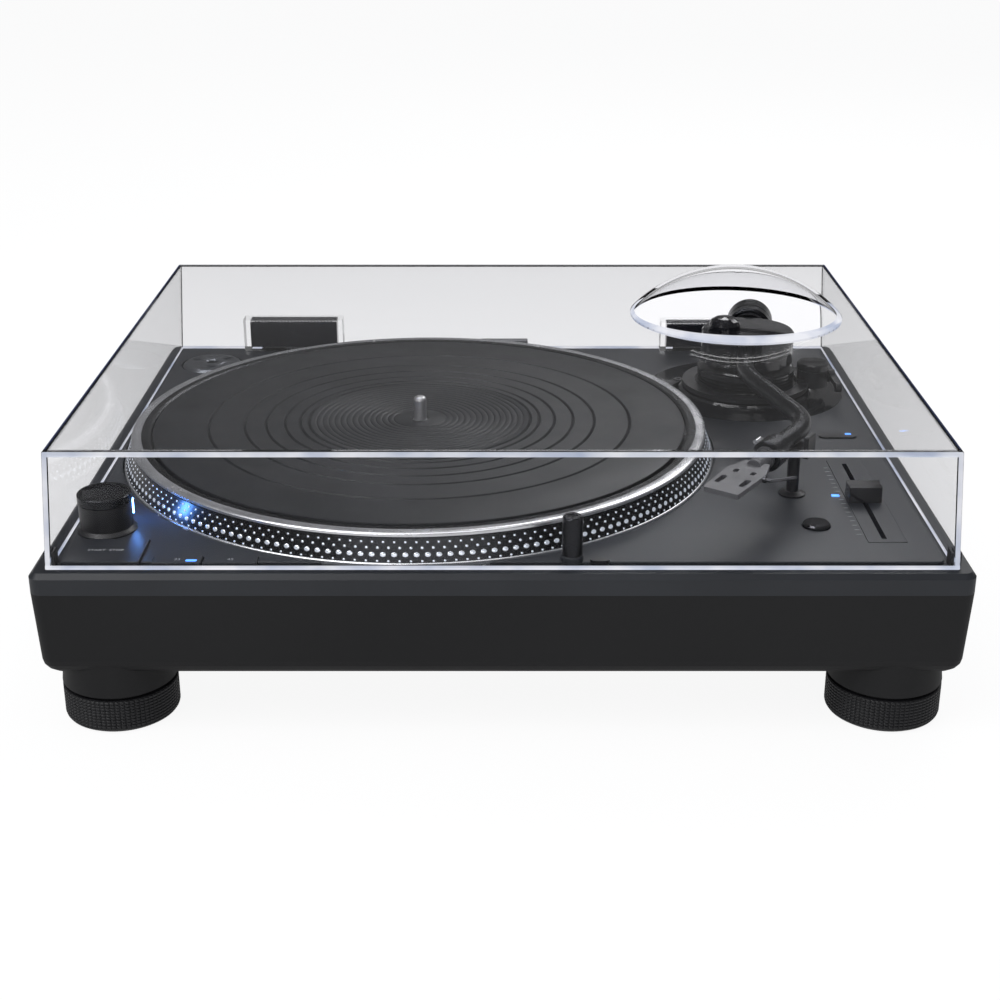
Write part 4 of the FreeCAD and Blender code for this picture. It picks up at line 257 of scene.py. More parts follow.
def wall_places(material):
    """Y and Z of a point, its distance from the side walls' outside, and the front wall's place there."""
    x, y, z = axes_of(material)
    height = maths(material, "DIVIDE", maths(material, "SUBTRACT", z, COVER_LOW), COVER_HIGH - COVER_LOW)
    half = maths(material, "SUBTRACT", COVER_HALF, maths(material, "MULTIPLY", height, COVER_LEAN))
    inward = maths(material, "SUBTRACT", half, maths(material, "ABSOLUTE", x))
    front = maths(material, "ADD", COVER_FRONT, maths(material, "MULTIPLY", height, FRONT_LEAN))
    return y, z, inward, front


# %% [markdown]
# ### The cover's edges
# Polished edges gather light and look white where they face the viewer, and blue-black where a wall bends
# away. Light that is gathered in an edge takes very many samples to trace, so it is painted instead: masks
# worked out from the walls' places say where the edges get a painted glow and where a painted dark line runs.

# %% Where the painted glow and the painted dark lines go
WALL = 0.0027
FACE_DEPTH = 0.0004
LOW_EDGE = 0.0011
EDGE_LINE = 0.0016
LINE_START = 0.0030
DOME_LOW, DOME_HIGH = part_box("cover_dome")
DOME = (DOME_LOW + DOME_HIGH) / 2
DOME_R = (DOME_HIGH[0] - DOME_LOW[0]) / 2
RIM_WIDTH, RIM_REACH, RIM_LIFT = 0.0036, 0.35, 0.0006


def painted_edge_glow_mask(material):
    """Where the painted glow goes: where the front face shows a wall edge-on, and along the walls' lower
    edges.
    """
    y, z, inward, front = wall_places(material)
    on_front = maths(material, "LESS_THAN", y, maths(material, "ADD", front, FACE_DEPTH))
    at_side = maths(material, "LESS_THAN", inward, WALL)
    at_top = maths(material, "GREATER_THAN", z, COVER_HIGH - WALL)
    band = maths(material, "MULTIPLY", on_front, maths(material, "MAXIMUM", at_side, at_top))
    low = maths(material, "LESS_THAN", z, COVER_LOW + LOW_EDGE)
    return maths(material, "MAXIMUM", band, low)


def painted_dark_line_mask(material):
    """Where painted dark lines go: thin lines where the outsides of two walls are near at once, except along
    the front.
    """
    y, z, inward, front = wall_places(material)
    at_side = maths(material, "LESS_THAN", inward, EDGE_LINE)
    at_rear = maths(material, "GREATER_THAN", y, COVER_REAR - EDGE_LINE)
    at_top = maths(material, "GREATER_THAN", z, COVER_HIGH - EDGE_LINE)
    near = maths(material, "ADD", maths(material, "ADD", at_side, at_rear), at_top)
    behind = maths(material, "GREATER_THAN", y, maths(material, "ADD", front, LINE_START))
    return maths(material, "MULTIPLY", maths(material, "GREATER_THAN", near, 1.5), behind)


def painted_rim_glow_mask(material):
    """Where the dome's joint gets a painted highlight: widest in front, where it gathers the most light, and
    gone at the back.
    """
    _, y, z = axes_of(material)
    forward = maths(material, "DIVIDE", maths(material, "SUBTRACT", DOME[1], y), DOME_R)
    width = maths(material, "MULTIPLY", maths(material, "SUBTRACT", forward, RIM_REACH), RIM_WIDTH)
    return maths(material, "LESS_THAN", z, maths(material, "ADD", width, COVER_HIGH + RIM_LIFT))


# %% [markdown]
# ### The clear shader
# Three layers lie over the glass: the painted dark lines, a matt blue-black colour, the painted glow of the
# edges, an emission, and, for shadow and diffuse rays only, a plain transparent shader, because glass would
# shade what the cover covers. In mirrored rays the painted glow is nearly put out, or each edge would show
# again in the cover's top.

# %% Cover finish
# Strength, share and tones of the painted edge glow, and the colour and share of the painted dark lines.
PAINTED_GLOW_STRENGTH, MIRRORED_LOSS = 0.92, 0.84
PAINTED_LINE_SHARE, PAINTED_GLOW_SHARE = 0.70, 0.85
PAINTED_LINE_BLUE = (0.045, 0.055, 0.12, 1)
PAINTED_GLOW_TONES = ((0.50, 0.56, 0.72), (0.93, 0.94, 1.0))
CLEAR_SHADE = (0.97, 0.97, 0.98, 1)


def mixed(owner, share, under, over):
    """A share of one shader over another."""
    mix = add_node(owner, "ShaderNodeMixShader")
    for socket, source in zip(mix.inputs, (share, under, over)):
        link(owner, source, socket)
    return mix.outputs[0]


def painted_edge_glow(acrylic, path):
    """The painted glow of an edge, an emission in place of gathered light, weaker for rays that a surface has
    mirrored on the way.
    """
    mirrored = maths(acrylic, "GREATER_THAN", path.outputs["Glossy Depth"], 0.5)
    strength = maths(acrylic, "SUBTRACT", PAINTED_GLOW_STRENGTH, maths(acrylic, "MULTIPLY", mirrored, MIRRORED_LOSS))
    light = add_node(acrylic, "ShaderNodeEmission")
    link(acrylic, strength, light.inputs["Strength"])
    link(acrylic, shaded(acrylic, noise(acrylic, 0.03), 0.35, 0.62, PAINTED_GLOW_TONES), light.inputs["Color"])
    return light.outputs[0]


def clear_acrylic(name, index, bright, dark=None):
    acrylic = finish(name, (0.985, 0.985, 0.995), 0.015, IOR=index, Transmission_Weight=1.0)
    relief(acrylic, noise(acrylic, 0.12, 1.0), 0.02, 0.0006)
    patina(acrylic, 0.03, 0.0, 0.02)
    surface = shader_of(acrylic).outputs[0]
    if dark:
        # The painted dark line: a matt blue-black colour where an edge looks dark.
        line = add_node(acrylic, "ShaderNodeBsdfDiffuse", Color=PAINTED_LINE_BLUE)
        share = maths(acrylic, "MULTIPLY", dark(acrylic), PAINTED_LINE_SHARE)
        surface = mixed(acrylic, share, surface, line.outputs[0])
    path = add_node(acrylic, "ShaderNodeLightPath")
    # The painted glow: an emission where an edge looks white.
    share = maths(acrylic, "MULTIPLY", bright(acrylic), PAINTED_GLOW_SHARE)
    surface = mixed(acrylic, share, surface, painted_edge_glow(acrylic, path))
    either = maths(acrylic, "MAXIMUM", path.outputs["Is Shadow Ray"], path.outputs["Is Diffuse Ray"])
    clear = add_node(acrylic, "ShaderNodeBsdfTransparent", Color=CLEAR_SHADE)
    surface = mixed(acrylic, either, surface, clear.outputs[0])
    link(acrylic, surface, acrylic.node_tree.nodes["Material Output"].inputs["Surface"])
    return acrylic


# Both finishes carry painted light: the walls a painted glow and painted dark lines at their edges, the dome a
# painted highlight round its joint.
dress(clear_acrylic("clear_walls", 1.16, painted_edge_glow_mask, painted_dark_line_mask), "dust_cover")
dress(clear_acrylic("clear_dome", 1.015, painted_rim_glow_mask), "cover_dome")

# %% [markdown]
# ### Rubber, plastic and metal of the smaller pieces
# The small parts share a few families: soft rubber, satin mouldings, black anodised aluminium with a
# brushed grain, polished steel, and inside the plinth copper, brass, a ferrite ring and green boards. One
# function for each family keeps their grain and their wear alike, as they are on parts from one maker's line.

# %% Families of finishes
def satin(name, colour, roughness, grain=0.0005, depth=0.00012, **sockets):
    material = finish(name, colour, roughness, **sockets)
    tint(material, 0.02, [0.82 * c for c in colour], [1.15 * c for c in colour])
    patina(material, 0.015, roughness - 0.05, roughness + 0.06)
    relief(material, noise(material, grain, 1.0), 0.04, depth)
    return material


def anodised(name, colour, roughness, stretch=(1, 1, 30)):
    """Metal under a dyed oxide, with a brushed grain drawn out along one axis."""
    material = finish(name, colour, roughness, metallic=0.85)
    tint(material, 0.02, [0.85 * c for c in colour], [1.12 * c for c in colour])
    patina(material, 0.0015, roughness - 0.05, roughness + 0.08, stretch)
    relief(material, noise(material, 0.0004, 2.0, stretch), 0.06, 0.0001)
    return material


def polished(name, colour=(0.78, 0.78, 0.80), roughness=0.10, ripple=0.02):
    material = finish(name, colour, roughness, metallic=1.0)
    tint(material, 0.01, [0.94 * c for c in colour], colour)
    patina(material, 0.02, roughness - 0.04, roughness + 0.05)
    relief(material, noise(material, 0.004, 1.0), ripple, 0.00003)
    return material


# %% [markdown]
# ### What is black on the deck
# Nearly everything here is black, and only the gloss tells the pieces apart. The cushions are dull rubber, the
# knobs satin, the arm's base lacquered, and the tube metal under a dyed skin. The families above give each its
# gloss with little change of colour.

# %% Black and grey pieces
dress(satin("soft_rubber", (0.018, 0.018, 0.020), 0.72), "cover_cushions")
dress(satin("hinge_black", (0.010, 0.010, 0.014), 0.40), "hinge_arms")
dress(satin("satin_moulding", (0.012, 0.012, 0.014), 0.34),
      "control_pod", "cue_lever", "lift_platform", "arm_lock_lever", "arm_rest", "strobe_tower",
      "lamp_button", "button_x2", "earth_knob", "fader_track", "mains_inlet", "terminal_panel")
dress(satin("gloss_black", (0.006, 0.006, 0.008), 0.14, Coat_Weight=0.8),
      "arm_pedestal", "height_ring", "arm_base", "gimbal", "pitch_fader", "anti_skate_dial")
dress(anodised("arm_anodised", (0.030, 0.031, 0.035), 0.26),
      "arm_tube", "counterweight", "weight_scale_ring", "collar_nut", "target_lamp")
dress(satin("headshell_grey", (0.085, 0.085, 0.090), 0.45), "headshell")

# %% [markdown]
# ### Bare metal, and what is inside
# Pins, screws and the spindle are bare steel. The inside is seldom seen, but it would look unfinished with one
# grey for all, so copper, brass, gilt sockets, ferrite and boards have finishes of their own.

# %% Metal pieces and the inside
dress(polished("turned_steel", (0.55, 0.55, 0.57), 0.28),
      "hinge_pins", "rotor_yoke", "stator_plate", "pivot_screws", "bottom_screws", "hinge_bases")
dress(polished("dark_chrome", (0.10, 0.10, 0.11), 0.10, 0.0), "finger_lift", "reset_button")
dress(polished("satin_steel", (0.80, 0.80, 0.82), 0.34), "spindle")
dress(polished("bright_chrome"), "arm_clamp")
dress(satin("ferrite", (0.05, 0.05, 0.055), 0.6), "rotor_magnet")
dress(anodised("enamelled_copper", (0.55, 0.24, 0.10), 0.35, (1, 1, 1)), "stator_coils")
dress(anodised("turned_brass", (0.60, 0.44, 0.20), 0.30, (1, 1, 20)), "spindle_bearing")
dress(anodised("gilt_nickel", (0.72, 0.62, 0.40), 0.22, (1, 20, 1)), "phono_jacks")
dress(satin("board_green", (0.012, 0.075, 0.032), 0.40), "power_supply", "control_board")
dress(anodised("brushed_plate", (0.30, 0.30, 0.32), 0.35, (30, 1, 1)), "nameplate")

# %% [markdown]
# ### Turned tops
# The power dial, the 45 adapter and the platter were faced on a lathe. Rings could be cut into the mesh, but
# they are finer than a hair, so they go into the bump. Centred on each piece, they make the light run
# round it in a fan.

# %% Turned finishes
TURNED_TONES = np.array([(0.030, 0.031, 0.034), (0.038, 0.040, 0.044)])
RING_STRENGTH, RING_DEPTH = 0.03, 0.00002
RINGS_PER_UNIT = math.tau / 20.0


def centre_of(node):
    low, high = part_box(node)
    return (low + high) / 2


SPINDLE, ADAPTER, DIAL = (centre_of(node) for node in ("spindle", "adapter_45", "power_dial"))


def turned_black(name, centre, spacing, lighter=1.0):
    """Fine rings round an upright axis; a wave texture of scale s repeats every tau / (20 * s)."""
    material = finish(name, (0.035, 0.036, 0.040), 0.24, metallic=0.8)
    rings = add_node(material, "ShaderNodeTexWave", Scale=RINGS_PER_UNIT / spacing, Distortion=0.0)
    rings.wave_type = "RINGS"
    rings.rings_direction = "Z"
    link(material, coordinates(material, centre=centre), rings.inputs["Vector"])
    relief(material, rings.outputs["Fac"], RING_STRENGTH, RING_DEPTH)
    patina(material, 0.03, 0.22, 0.28)
    tint(material, 0.03, *(TURNED_TONES * lighter))
    return material


dress(turned_black("dial_facing", DIAL, 0.0006), "power_dial")
dress(turned_black("adapter_facing", ADAPTER, 0.0008, 5.0), "adapter_45")
dress(turned_black("platter_paint", SPINDLE, 0.0011), "platter")

# %% [markdown]
# ### Lamps
# The strobe window throws a blue-white light on the rim's dots, and small blue lenses show which speed is
# on. A lamp could stand behind each, but it wouldn't be seen itself. An emission colour on the Principled
# shader makes both; the window is bright enough to light the deck.

# %% Lit lenses
def give_off(material, colour, strength):
    shader = shader_of(material)
    shader.inputs["Emission Color"].default_value = (*colour, 1.0)
    shader.inputs["Emission Strength"].default_value = strength


def lit(name, colour, strength, base=(0.2, 0.4, 0.8)):
    material = finish(name, base, 0.2)
    tint(material, 0.002, [0.9 * c for c in base], base)
    give_off(material, colour, strength)
    return material


dress(lit("strobe_glow", (0.12, 0.34, 1.0), 85.0), "strobe_window")
blue_lens = lit("blue_lens", (0.05, 0.25, 1.0), 1.6)

# %% [markdown]
# ## Surfaces as arrays
# New pieces are grids of points worked out as whole arrays. Modelling tools could make them one by one, but a
# formula is exact and quick to change. One function turns a grid into four-cornered faces, and another
# makes the object from both.

# %% From arrays to a piece
def grid_faces(rows, columns, close_rows=False, close_columns=False):
    """Indices of the four corners of each cell of a grid; a closed direction wraps round."""
    r = np.arange(rows if close_rows else rows - 1)
    c = np.arange(columns if close_columns else columns - 1)
    r, c = (a.ravel() for a in np.meshgrid(r, c, indexing="ij"))
    r1, c1 = (r + 1) % rows, (c + 1) % columns
    return np.stack([r * columns + c, r * columns + c1, r1 * columns + c1, r1 * columns + c], 1)


def piece(name, points, faces, material, body, slot, replaces=(), edge_angle=35):
    """Makes the object, smooths it up to an edge angle, and hands it to its body."""
    mesh = bpy.data.meshes.new(name)
    mesh.from_pydata(np.asarray(points).tolist(), [], np.asarray(faces).tolist())
    mesh.validate()
    mesh.materials.append(material)
    mesh.shade_smooth()
    mesh.set_sharp_from_angle(angle=math.radians(edge_angle))
    obj = bpy.data.objects.new(name, mesh)
    bpy.context.scene.collection.objects.link(obj)
    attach(obj, body)
    if replaces:
        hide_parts(*replaces)
    print(name, len(mesh.vertices), "points", len(mesh.polygons), "faces")
    return obj


# %% [markdown]
# ## The platter's strobe dots
# Four rows of little mirrors stand on the slanted rim. Lit by the strobe, one row seems to stand still
# when the speed is right. They could be painted on in the material, but real dots catch the light one by
# one. One dot is a low dome with eight sides.

# %% One dot, and many
DOT_SIDES, DOT_RISE, DOT_SHOULDER = 8, 0.2, 0.78


def dot(width, height):
    """A domed ellipse: a ring at the foot, a smaller ring above it, and a flat top."""
    a = np.arange(DOT_SIDES) * math.tau / DOT_SIDES
    rings = [np.stack([k * width * np.cos(a), k * height * np.sin(a), np.full(DOT_SIDES, z)], 1)
             for k, z in ((1.0, 0.0), (DOT_SHOULDER, DOT_RISE))]
    sides = grid_faces(2, DOT_SIDES, False, True)
    top = np.array([[8, 9, 10, 11], [8, 11, 12, 15], [12, 13, 14, 15]])
    return np.concatenate(rings) * MM, np.concatenate([sides, top])


def repeated(points, faces, turns, places):
    """A small shape put at many places: every copy is turn @ point + place."""
    count = len(places)
    copies = np.einsum("nij,pj->npi", turns, points) + np.asarray(places)[:, None, :]
    offsets = np.arange(count)[:, None, None] * len(points)
    return copies.reshape(-1, 3), (faces[None] + offsets).reshape(-1, faces.shape[1])


def together(*parts):
    """Several point and face arrays as one."""
    points, faces, start = [], [], 0
    for p, f in parts:
        points.append(p)
        faces.append(f + start)
        start += len(p)
    return np.concatenate(points), np.concatenate(faces)


# %% [markdown]
# ### The rows round the rim
# Each dot is turned to lie on the slope. Its three directions are along the rim, up the slope, and out of
# it, which is the cross product of the two. Neighbouring rows are half a step apart.

# %% Strobe dots
RIM_LOW, RIM_HIGH = (164.9, 88.6), (160.6, 100.5)
DOT_ROWS = ((89.6, 0.65, 0.55), (92.5, 1.5, 1.15), (95.6, 0.75, 0.65), (98.2, 0.65, 0.55))
DOTS_ROUND = 190


def strobe_dots():
    slope = np.array([RIM_HIGH[0] - RIM_LOW[0], RIM_HIGH[1] - RIM_LOW[1]])
    slope /= np.linalg.norm(slope)
    rows = []
    for number, (z, width, height) in enumerate(DOT_ROWS):
        share = (z - RIM_LOW[1]) / (RIM_HIGH[1] - RIM_LOW[1])
        radius = RIM_LOW[0] + share * (RIM_HIGH[0] - RIM_LOW[0])
        a = (np.arange(DOTS_ROUND) + 0.5 * (number % 2)) * math.tau / DOTS_ROUND
        cos, sin, zero = np.cos(a), np.sin(a), np.zeros_like(a)
        along = np.stack([-sin, cos, zero], 1)
        up = np.stack([slope[0] * cos, slope[0] * sin, zero + slope[1]], 1)
        out = np.cross(along, up)
        places = np.stack([SPINDLE[0] + radius * MM * cos, SPINDLE[1] + radius * MM * sin, zero + z * MM], 1)
        rows.append(repeated(*dot(width, height), np.stack([along, up, out], 2), places))
    return together(*rows)


dot_mirror_with_painted_glow = polished("dot_mirror_with_painted_glow", (0.88, 0.89, 0.92), 0.16)
# The dots also get a painted highlight: a faint blue-white emission, though they give off no light of their
# own.
give_off(dot_mirror_with_painted_glow, (0.8, 0.87, 1.0), 0.42)
piece("strobe_dots", *strobe_dots(), dot_mirror_with_painted_glow, "platter", "bright_steel", edge_angle=60)

# %% [markdown]
# ## The platter's bright rims
# Two bands of the rim are cut bright after the paint: the foot, and the edge round the mat. A mask in the
# paint could show them, but a ring of its own has a clean border. Each is an outline a few hundredths of a
# millimetre proud of the metal, turned round the spindle.

# %% Bright rims
RIM_SKIN = 0.06


def revolved(profile, centre, segments=192):
    """A closed outline of (radius, height) in millimetres, carried once round an upright axis.

    Point = centre + radius * (cos a, sin a), at the outline's height. The outline runs anticlockwise
    seen with the radius to the right, so that the faces point outwards.
    """
    profile = np.asarray(profile, float) * MM
    a = np.arange(segments) * math.tau / segments
    x = centre[0] + profile[:, None, 0] * np.cos(a)
    y = centre[1] + profile[:, None, 0] * np.sin(a)
    z = np.repeat(profile[:, 1:2], segments, 1)
    points = np.stack([x, y, z], 2).reshape(-1, 3)
    return points, grid_faces(len(profile), segments, True, True)[:, ::-1]


def band(points, skin):
    """An open outline made into a closed one, four skins thick towards the axis."""
    outer = np.asarray(points, float)
    inner = outer[::-1] - np.array([skin * 4, 0.0])
    return np.concatenate([outer, inner])


foot_rim = band([(165.5 + RIM_SKIN, 86.05), (165.5 + RIM_SKIN, 88.2), (165.2, 88.62), (164.9, 88.75)],
                RIM_SKIN)
top_rim = band([(160.75, 100.45), (160.9 + RIM_SKIN, 100.7), (160.9 + RIM_SKIN, 101.85), (160.5, 102.35),
                (159.9, 102.62), (158.6, 102.72), (157.0, 102.70), (155.8, 102.5 + RIM_SKIN)], RIM_SKIN)
rims = together(revolved(foot_rim, SPINDLE, 256), revolved(top_rim, SPINDLE, 256))
cut_rim_with_painted_glow = polished("cut_rim_with_painted_glow", (0.86, 0.86, 0.88), 0.24)
# The rims get a faint painted highlight: an emission, though the cut metal gives off no light.
give_off(cut_rim_with_painted_glow, (0.85, 0.90, 1.0), 0.05)
piece("platter_rims", *rims, cut_rim_with_painted_glow, "platter", "bright_steel")

# %% [markdown]
# ## The mat
# The rubber mat has six wide grooves, and finer ones close together where the label lies. They are deep enough
# to cast shade, so they are cut into the outline and not left to the bump. The outline runs from the rim
# inwards and dips at each groove along a short curve.

# %% Grooved mat
MAT_LOW, MAT_TOP, MAT_R, MAT_HOLE = 100.02, 103.0, 149.5, 4.4
WIDE_GROOVES = (118.7, 98.8, 86.8, 76.3, 67.7, 62.8)
FINE_GROOVES = tuple(58.6 - 3.35 * i for i in range(14))
WIDE_HALF, WIDE_DEPTH = 1.0, 1.3
FINE_HALF, FINE_DEPTH = 0.75, 0.45


def groove_points(radius, half_width, depth):
    """Seven points of a dip: z = top - depth * cos^2 of the way across."""
    t = np.linspace(-1, 1, 7)
    return [(radius - half_width * s, MAT_TOP - depth * math.cos(s * math.pi / 2) ** 2) for s in t]


def grooved_mat():
    outline = [(MAT_HOLE, MAT_LOW), (MAT_R - 0.4, MAT_LOW), (MAT_R, MAT_LOW + 0.4), (MAT_R, MAT_TOP - 1.0),
               (MAT_R - 0.3, MAT_TOP - 0.3), (MAT_R - 1.0, MAT_TOP)]
    for radius in WIDE_GROOVES:
        outline += groove_points(radius, WIDE_HALF, WIDE_DEPTH)
    for radius in FINE_GROOVES:
        outline += groove_points(radius, FINE_HALF, FINE_DEPTH)
    outline += [(MAT_HOLE + 0.5, MAT_TOP), (MAT_HOLE, MAT_TOP - 0.4)]
    return revolved(outline, SPINDLE, 224)


mat_rubber = finish("mat_rubber", (0.015, 0.016, 0.018), 0.46, Specular_IOR_Level=0.45)
tint(mat_rubber, 0.05, (0.013, 0.014, 0.016), (0.018, 0.019, 0.022))
patina(mat_rubber, 0.03, 0.42, 0.52)
relief(mat_rubber, noise(mat_rubber, 0.0005, 1.0), 0.03, 0.0001)
piece("grooved_mat", *grooved_mat(), mat_rubber, "platter", "mat_rubber", ("platter_mat",))

# %% [markdown]
# ## The knurled feet
# Each foot is turned by its rim, which has a fine square knurl for the fingers. Its teeth could be repeated
# boxes, but one closed skin is cleaner: a grid round the foot is pushed in along two sets of grooves, round
# and upright, and the rest is a plain outline.

# %% Feet
FOOT_R, FOOT_TOP, NECK_R, NECK_TOP = 28.6, 18.0, 26.0, 19.6
KNURLS_ROUND, KNURL_ROWS, KNURL_DEPTH = 72, 9, 0.55
KNURL_LOW, KNURL_HIGH = 2.4, 17.4
POINTS_PER_TOOTH = 4
TOOTH_SHARPNESS = 2.2
POLE_R = 0.02


def knurled_foot(centre):
    """Radius = R - depth * (1 - |sin| of each groove direction), inside the knurled band."""
    columns = KNURLS_ROUND * POINTS_PER_TOOTH
    a = np.arange(columns) * math.tau / columns
    z_band = np.linspace(KNURL_LOW, KNURL_HIGH, KNURL_ROWS * POINTS_PER_TOOTH + 1)
    climbed = (z_band - KNURL_LOW) / (KNURL_HIGH - KNURL_LOW)
    across = np.clip(TOOTH_SHARPNESS * np.abs(np.sin(a * KNURLS_ROUND / 2)), 0, 1)
    up = np.clip(TOOTH_SHARPNESS * np.abs(np.sin(climbed * math.pi * KNURL_ROWS)), 0, 1)
    band_r = FOOT_R - KNURL_DEPTH * (1 - up[:, None] * across[None, :])
    below = [(POLE_R, 0.0), (FOOT_R - 2.4, 0.0), (FOOT_R - 1.0, 0.9), (FOOT_R - 0.3, 1.9)]
    above = [(FOOT_R - 0.3, FOOT_TOP - 0.2), (FOOT_R - 0.8, FOOT_TOP), (NECK_R, FOOT_TOP), (NECK_R, NECK_TOP),
             (POLE_R, NECK_TOP)]
    radii = np.concatenate([np.repeat([[r] for r, _ in below], columns, 1), band_r,
                            np.repeat([[r] for r, _ in above], columns, 1)])
    heights = np.array([z for _, z in below] + list(z_band) + [z for _, z in above])
    x = centre[0] + radii * MM * np.cos(a)
    y = centre[1] + radii * MM * np.sin(a)
    z = np.repeat(heights[:, None] * MM, columns, 1)
    return np.stack([x, y, z], 2).reshape(-1, 3), grid_faces(len(heights), columns, False, True)


foot_moulding = satin("foot_moulding", (0.012, 0.012, 0.014), 0.45)
for foot in ("foot_front_left", "foot_front_right", "foot_rear_left", "foot_rear_right"):
    points, faces = knurled_foot(centre_of(foot))
    piece("knurled_" + foot, points, faces, foot_moulding, foot, "foot_plastic", (foot,), edge_angle=30)

# %% [markdown]
# ## The teeth on the hinge holders
# Each hinge holder has a row of fine ribs along its top edge, where fingers grip it. One rib is a soft slab,
# whose rounded edges catch the light as a moulding's do, and it is repeated along the holder's width.

# %% Hinge teeth
RIB_SIZE, RIB_STEP, RIBS = (1.2, 1.6, 0.9), 2.2, 24
HOLDER_HALF = 28.75
RIB_INSET, RIB_DROP = 0.9, 0.1


def soft_slab(size, power=5.0, rows=9, columns=24):
    """A slab with rounded edges: a superellipsoid, |x/a|^p + |y/b|^p + |z/c|^p = 1."""
    v = np.linspace(-math.pi / 2, math.pi / 2, rows)[:, None]
    u = (np.arange(columns) * math.tau / columns)[None, :]

    def bent(value):
        return np.sign(value) * np.abs(value) ** (2.0 / power)

    x = size[0] / 2 * bent(np.cos(v)) * bent(np.cos(u))
    y = size[1] / 2 * bent(np.cos(v)) * bent(np.sin(u))
    z = size[2] / 2 * bent(np.sin(v)) + 0 * u
    return np.stack([x, y, z], 2).reshape(-1, 3) * MM, grid_faces(rows, columns, False, True)


def unturned(count):
    return np.repeat(np.eye(3)[None], count, 0)


def hinge_ribs():
    """Ribs stand side by side: x = middle + step * (number - half), just below the holders' top."""
    low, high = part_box("hinge_arms")
    along = (np.arange(RIBS) - (RIBS - 1) / 2) * RIB_STEP * MM
    middle = high[0] - HOLDER_HALF * MM
    x = np.concatenate([-middle + along, middle + along])
    y = np.full(2 * RIBS, low[1] + RIB_INSET * MM)
    z = np.full(2 * RIBS, high[2] - RIB_DROP * MM)
    points, faces = soft_slab(RIB_SIZE, 5.0, 7, 12)
    return repeated(points, faces, unturned(2 * RIBS), np.stack([x, y, z], 1))


piece("hinge_ribs", *hinge_ribs(), satin("rib_grey", (0.05, 0.05, 0.06), 0.35), "cover", "hinge_black")

# %% [markdown]
# ## Lamps and marks
# The lenses are small soft slabs let into the deck and the buttons. The scale beside the fader is printed, and
# a row of very thin slabs gives its lines a clean edge that a mask in the paint would blur.

# %% Lenses and the scale
DECK_Z = 88.0
LENS_33 = (-149.7, -173.0, DECK_Z + 0.45)
LENS_X2 = (200.0, 0.4, DECK_Z + 0.65)
LENS_PITCH = (175.9, -88.9, DECK_Z + 0.1)
TICK_X, TICK_Z, TICK_SIZE = 178.2, DECK_Z + 0.03, (2.6, 0.35, 0.08)
TICK_YS = np.linspace(-48.0, -140.0, 17)


def slab_at(size, place):
    """A soft slab at a place in millimetres."""
    points, faces = soft_slab(size)
    return points + np.array(place) * MM, faces


piece("speed_lamp", *slab_at((5.5, 2.2, 0.8), LENS_33), blue_lens, "speed_33", "strobe_lens")
piece("double_speed_lamp", *slab_at((3.6, 2.2, 0.9), LENS_X2), blue_lens, "double_speed", "strobe_lens")
piece("pitch_lamp", *slab_at((4.2, 3.0, 0.7), LENS_PITCH), blue_lens, "base", "strobe_lens")

print_grey = satin("printed_grey", (0.42, 0.43, 0.45), 0.5)
tick_places = np.stack([np.full_like(TICK_YS, TICK_X), TICK_YS, np.full_like(TICK_YS, TICK_Z)], 1) * MM
ticks = repeated(*soft_slab(TICK_SIZE, 6.0, 5, 12), unturned(len(TICK_YS)), tick_places)
piece("pitch_scale", *ticks, print_grey, "base", "headshell_grey")

# %% [markdown]
# ## Plain numbers
# The speed buttons carry their plain numbers. A text object writes them, and it is turned into a mesh, so
# that each can be moved to its place in the mesh and ride with its button.

# %% Numbers on the buttons
LETTER_RISE = 0.03
LETTER_LIFT = 0.02


def lettering(name, text, size, place, body):
    """Flat text, centred at a place in millimetres and lying on the surface there."""
    curve = bpy.data.curves.new(name, "FONT")
    curve.body = text
    curve.size = size * MM
    curve.extrude = LETTER_RISE * MM
    curve.align_x = "CENTER"
    curve.align_y = "CENTER"
    writer = bpy.data.objects.new(name + "_curve", curve)
    bpy.context.scene.collection.objects.link(writer)
    bpy.context.view_layer.update()
    mesh = bpy.data.meshes.new_from_object(writer)
    bpy.data.objects.remove(writer)
    points = np.empty(len(mesh.vertices) * 3, np.float32)
    mesh.vertices.foreach_get("co", points)
    points = points.reshape(-1, 3) + np.array(place) * MM
    mesh.vertices.foreach_set("co", points.astype(np.float32).ravel())
    mesh.materials.clear()
    mesh.materials.append(print_grey)
    obj = bpy.data.objects.new(name, mesh)
    bpy.context.scene.collection.objects.link(obj)
    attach(obj, body)
    print(name, len(mesh.vertices), "points")


for node, body, text, size in (("button_33", "speed_33", "33", 3.2), ("button_45", "speed_45", "45", 3.2),
                               ("start_stop_button", "start_button", "START  STOP", 3.0)):
    x, y, _ = centre_of(node) / MM
    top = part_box(node)[1][2] / MM + LETTER_LIFT
    lettering("number_" + body, text, size, (x, y, top), body)

# %% [markdown]
# ## The floor and the white room
# The object stands on a white table in a white room. More light on it could make the room white, but it would
# bleach the object too. Here the rays decide: the camera, and rays through or off the pieces, see white, and
# the floor mixes a little shaded white into it, so that it keeps a soft shadow under the feet.

# %% Who sees the white
def seen_white(owner, mirrored_strength):
    """The share of rays that see the white room, and how white it is for them.

    Camera, glossy and transmitted rays see it. Those that a gloss has sent back on the way see it dimmed.
    """
    path = add_node(owner, "ShaderNodeLightPath").outputs
    either = maths(owner, "MAXIMUM", path["Is Glossy Ray"], path["Is Transmission Ray"])
    seen = maths(owner, "MAXIMUM", path["Is Camera Ray"], either)
    sent_back = maths(owner, "GREATER_THAN", path["Glossy Depth"], 0.5)
    lost = maths(owner, "MULTIPLY", sent_back, 1.0 - mirrored_strength)
    return seen, maths(owner, "SUBTRACT", 1.0, lost)


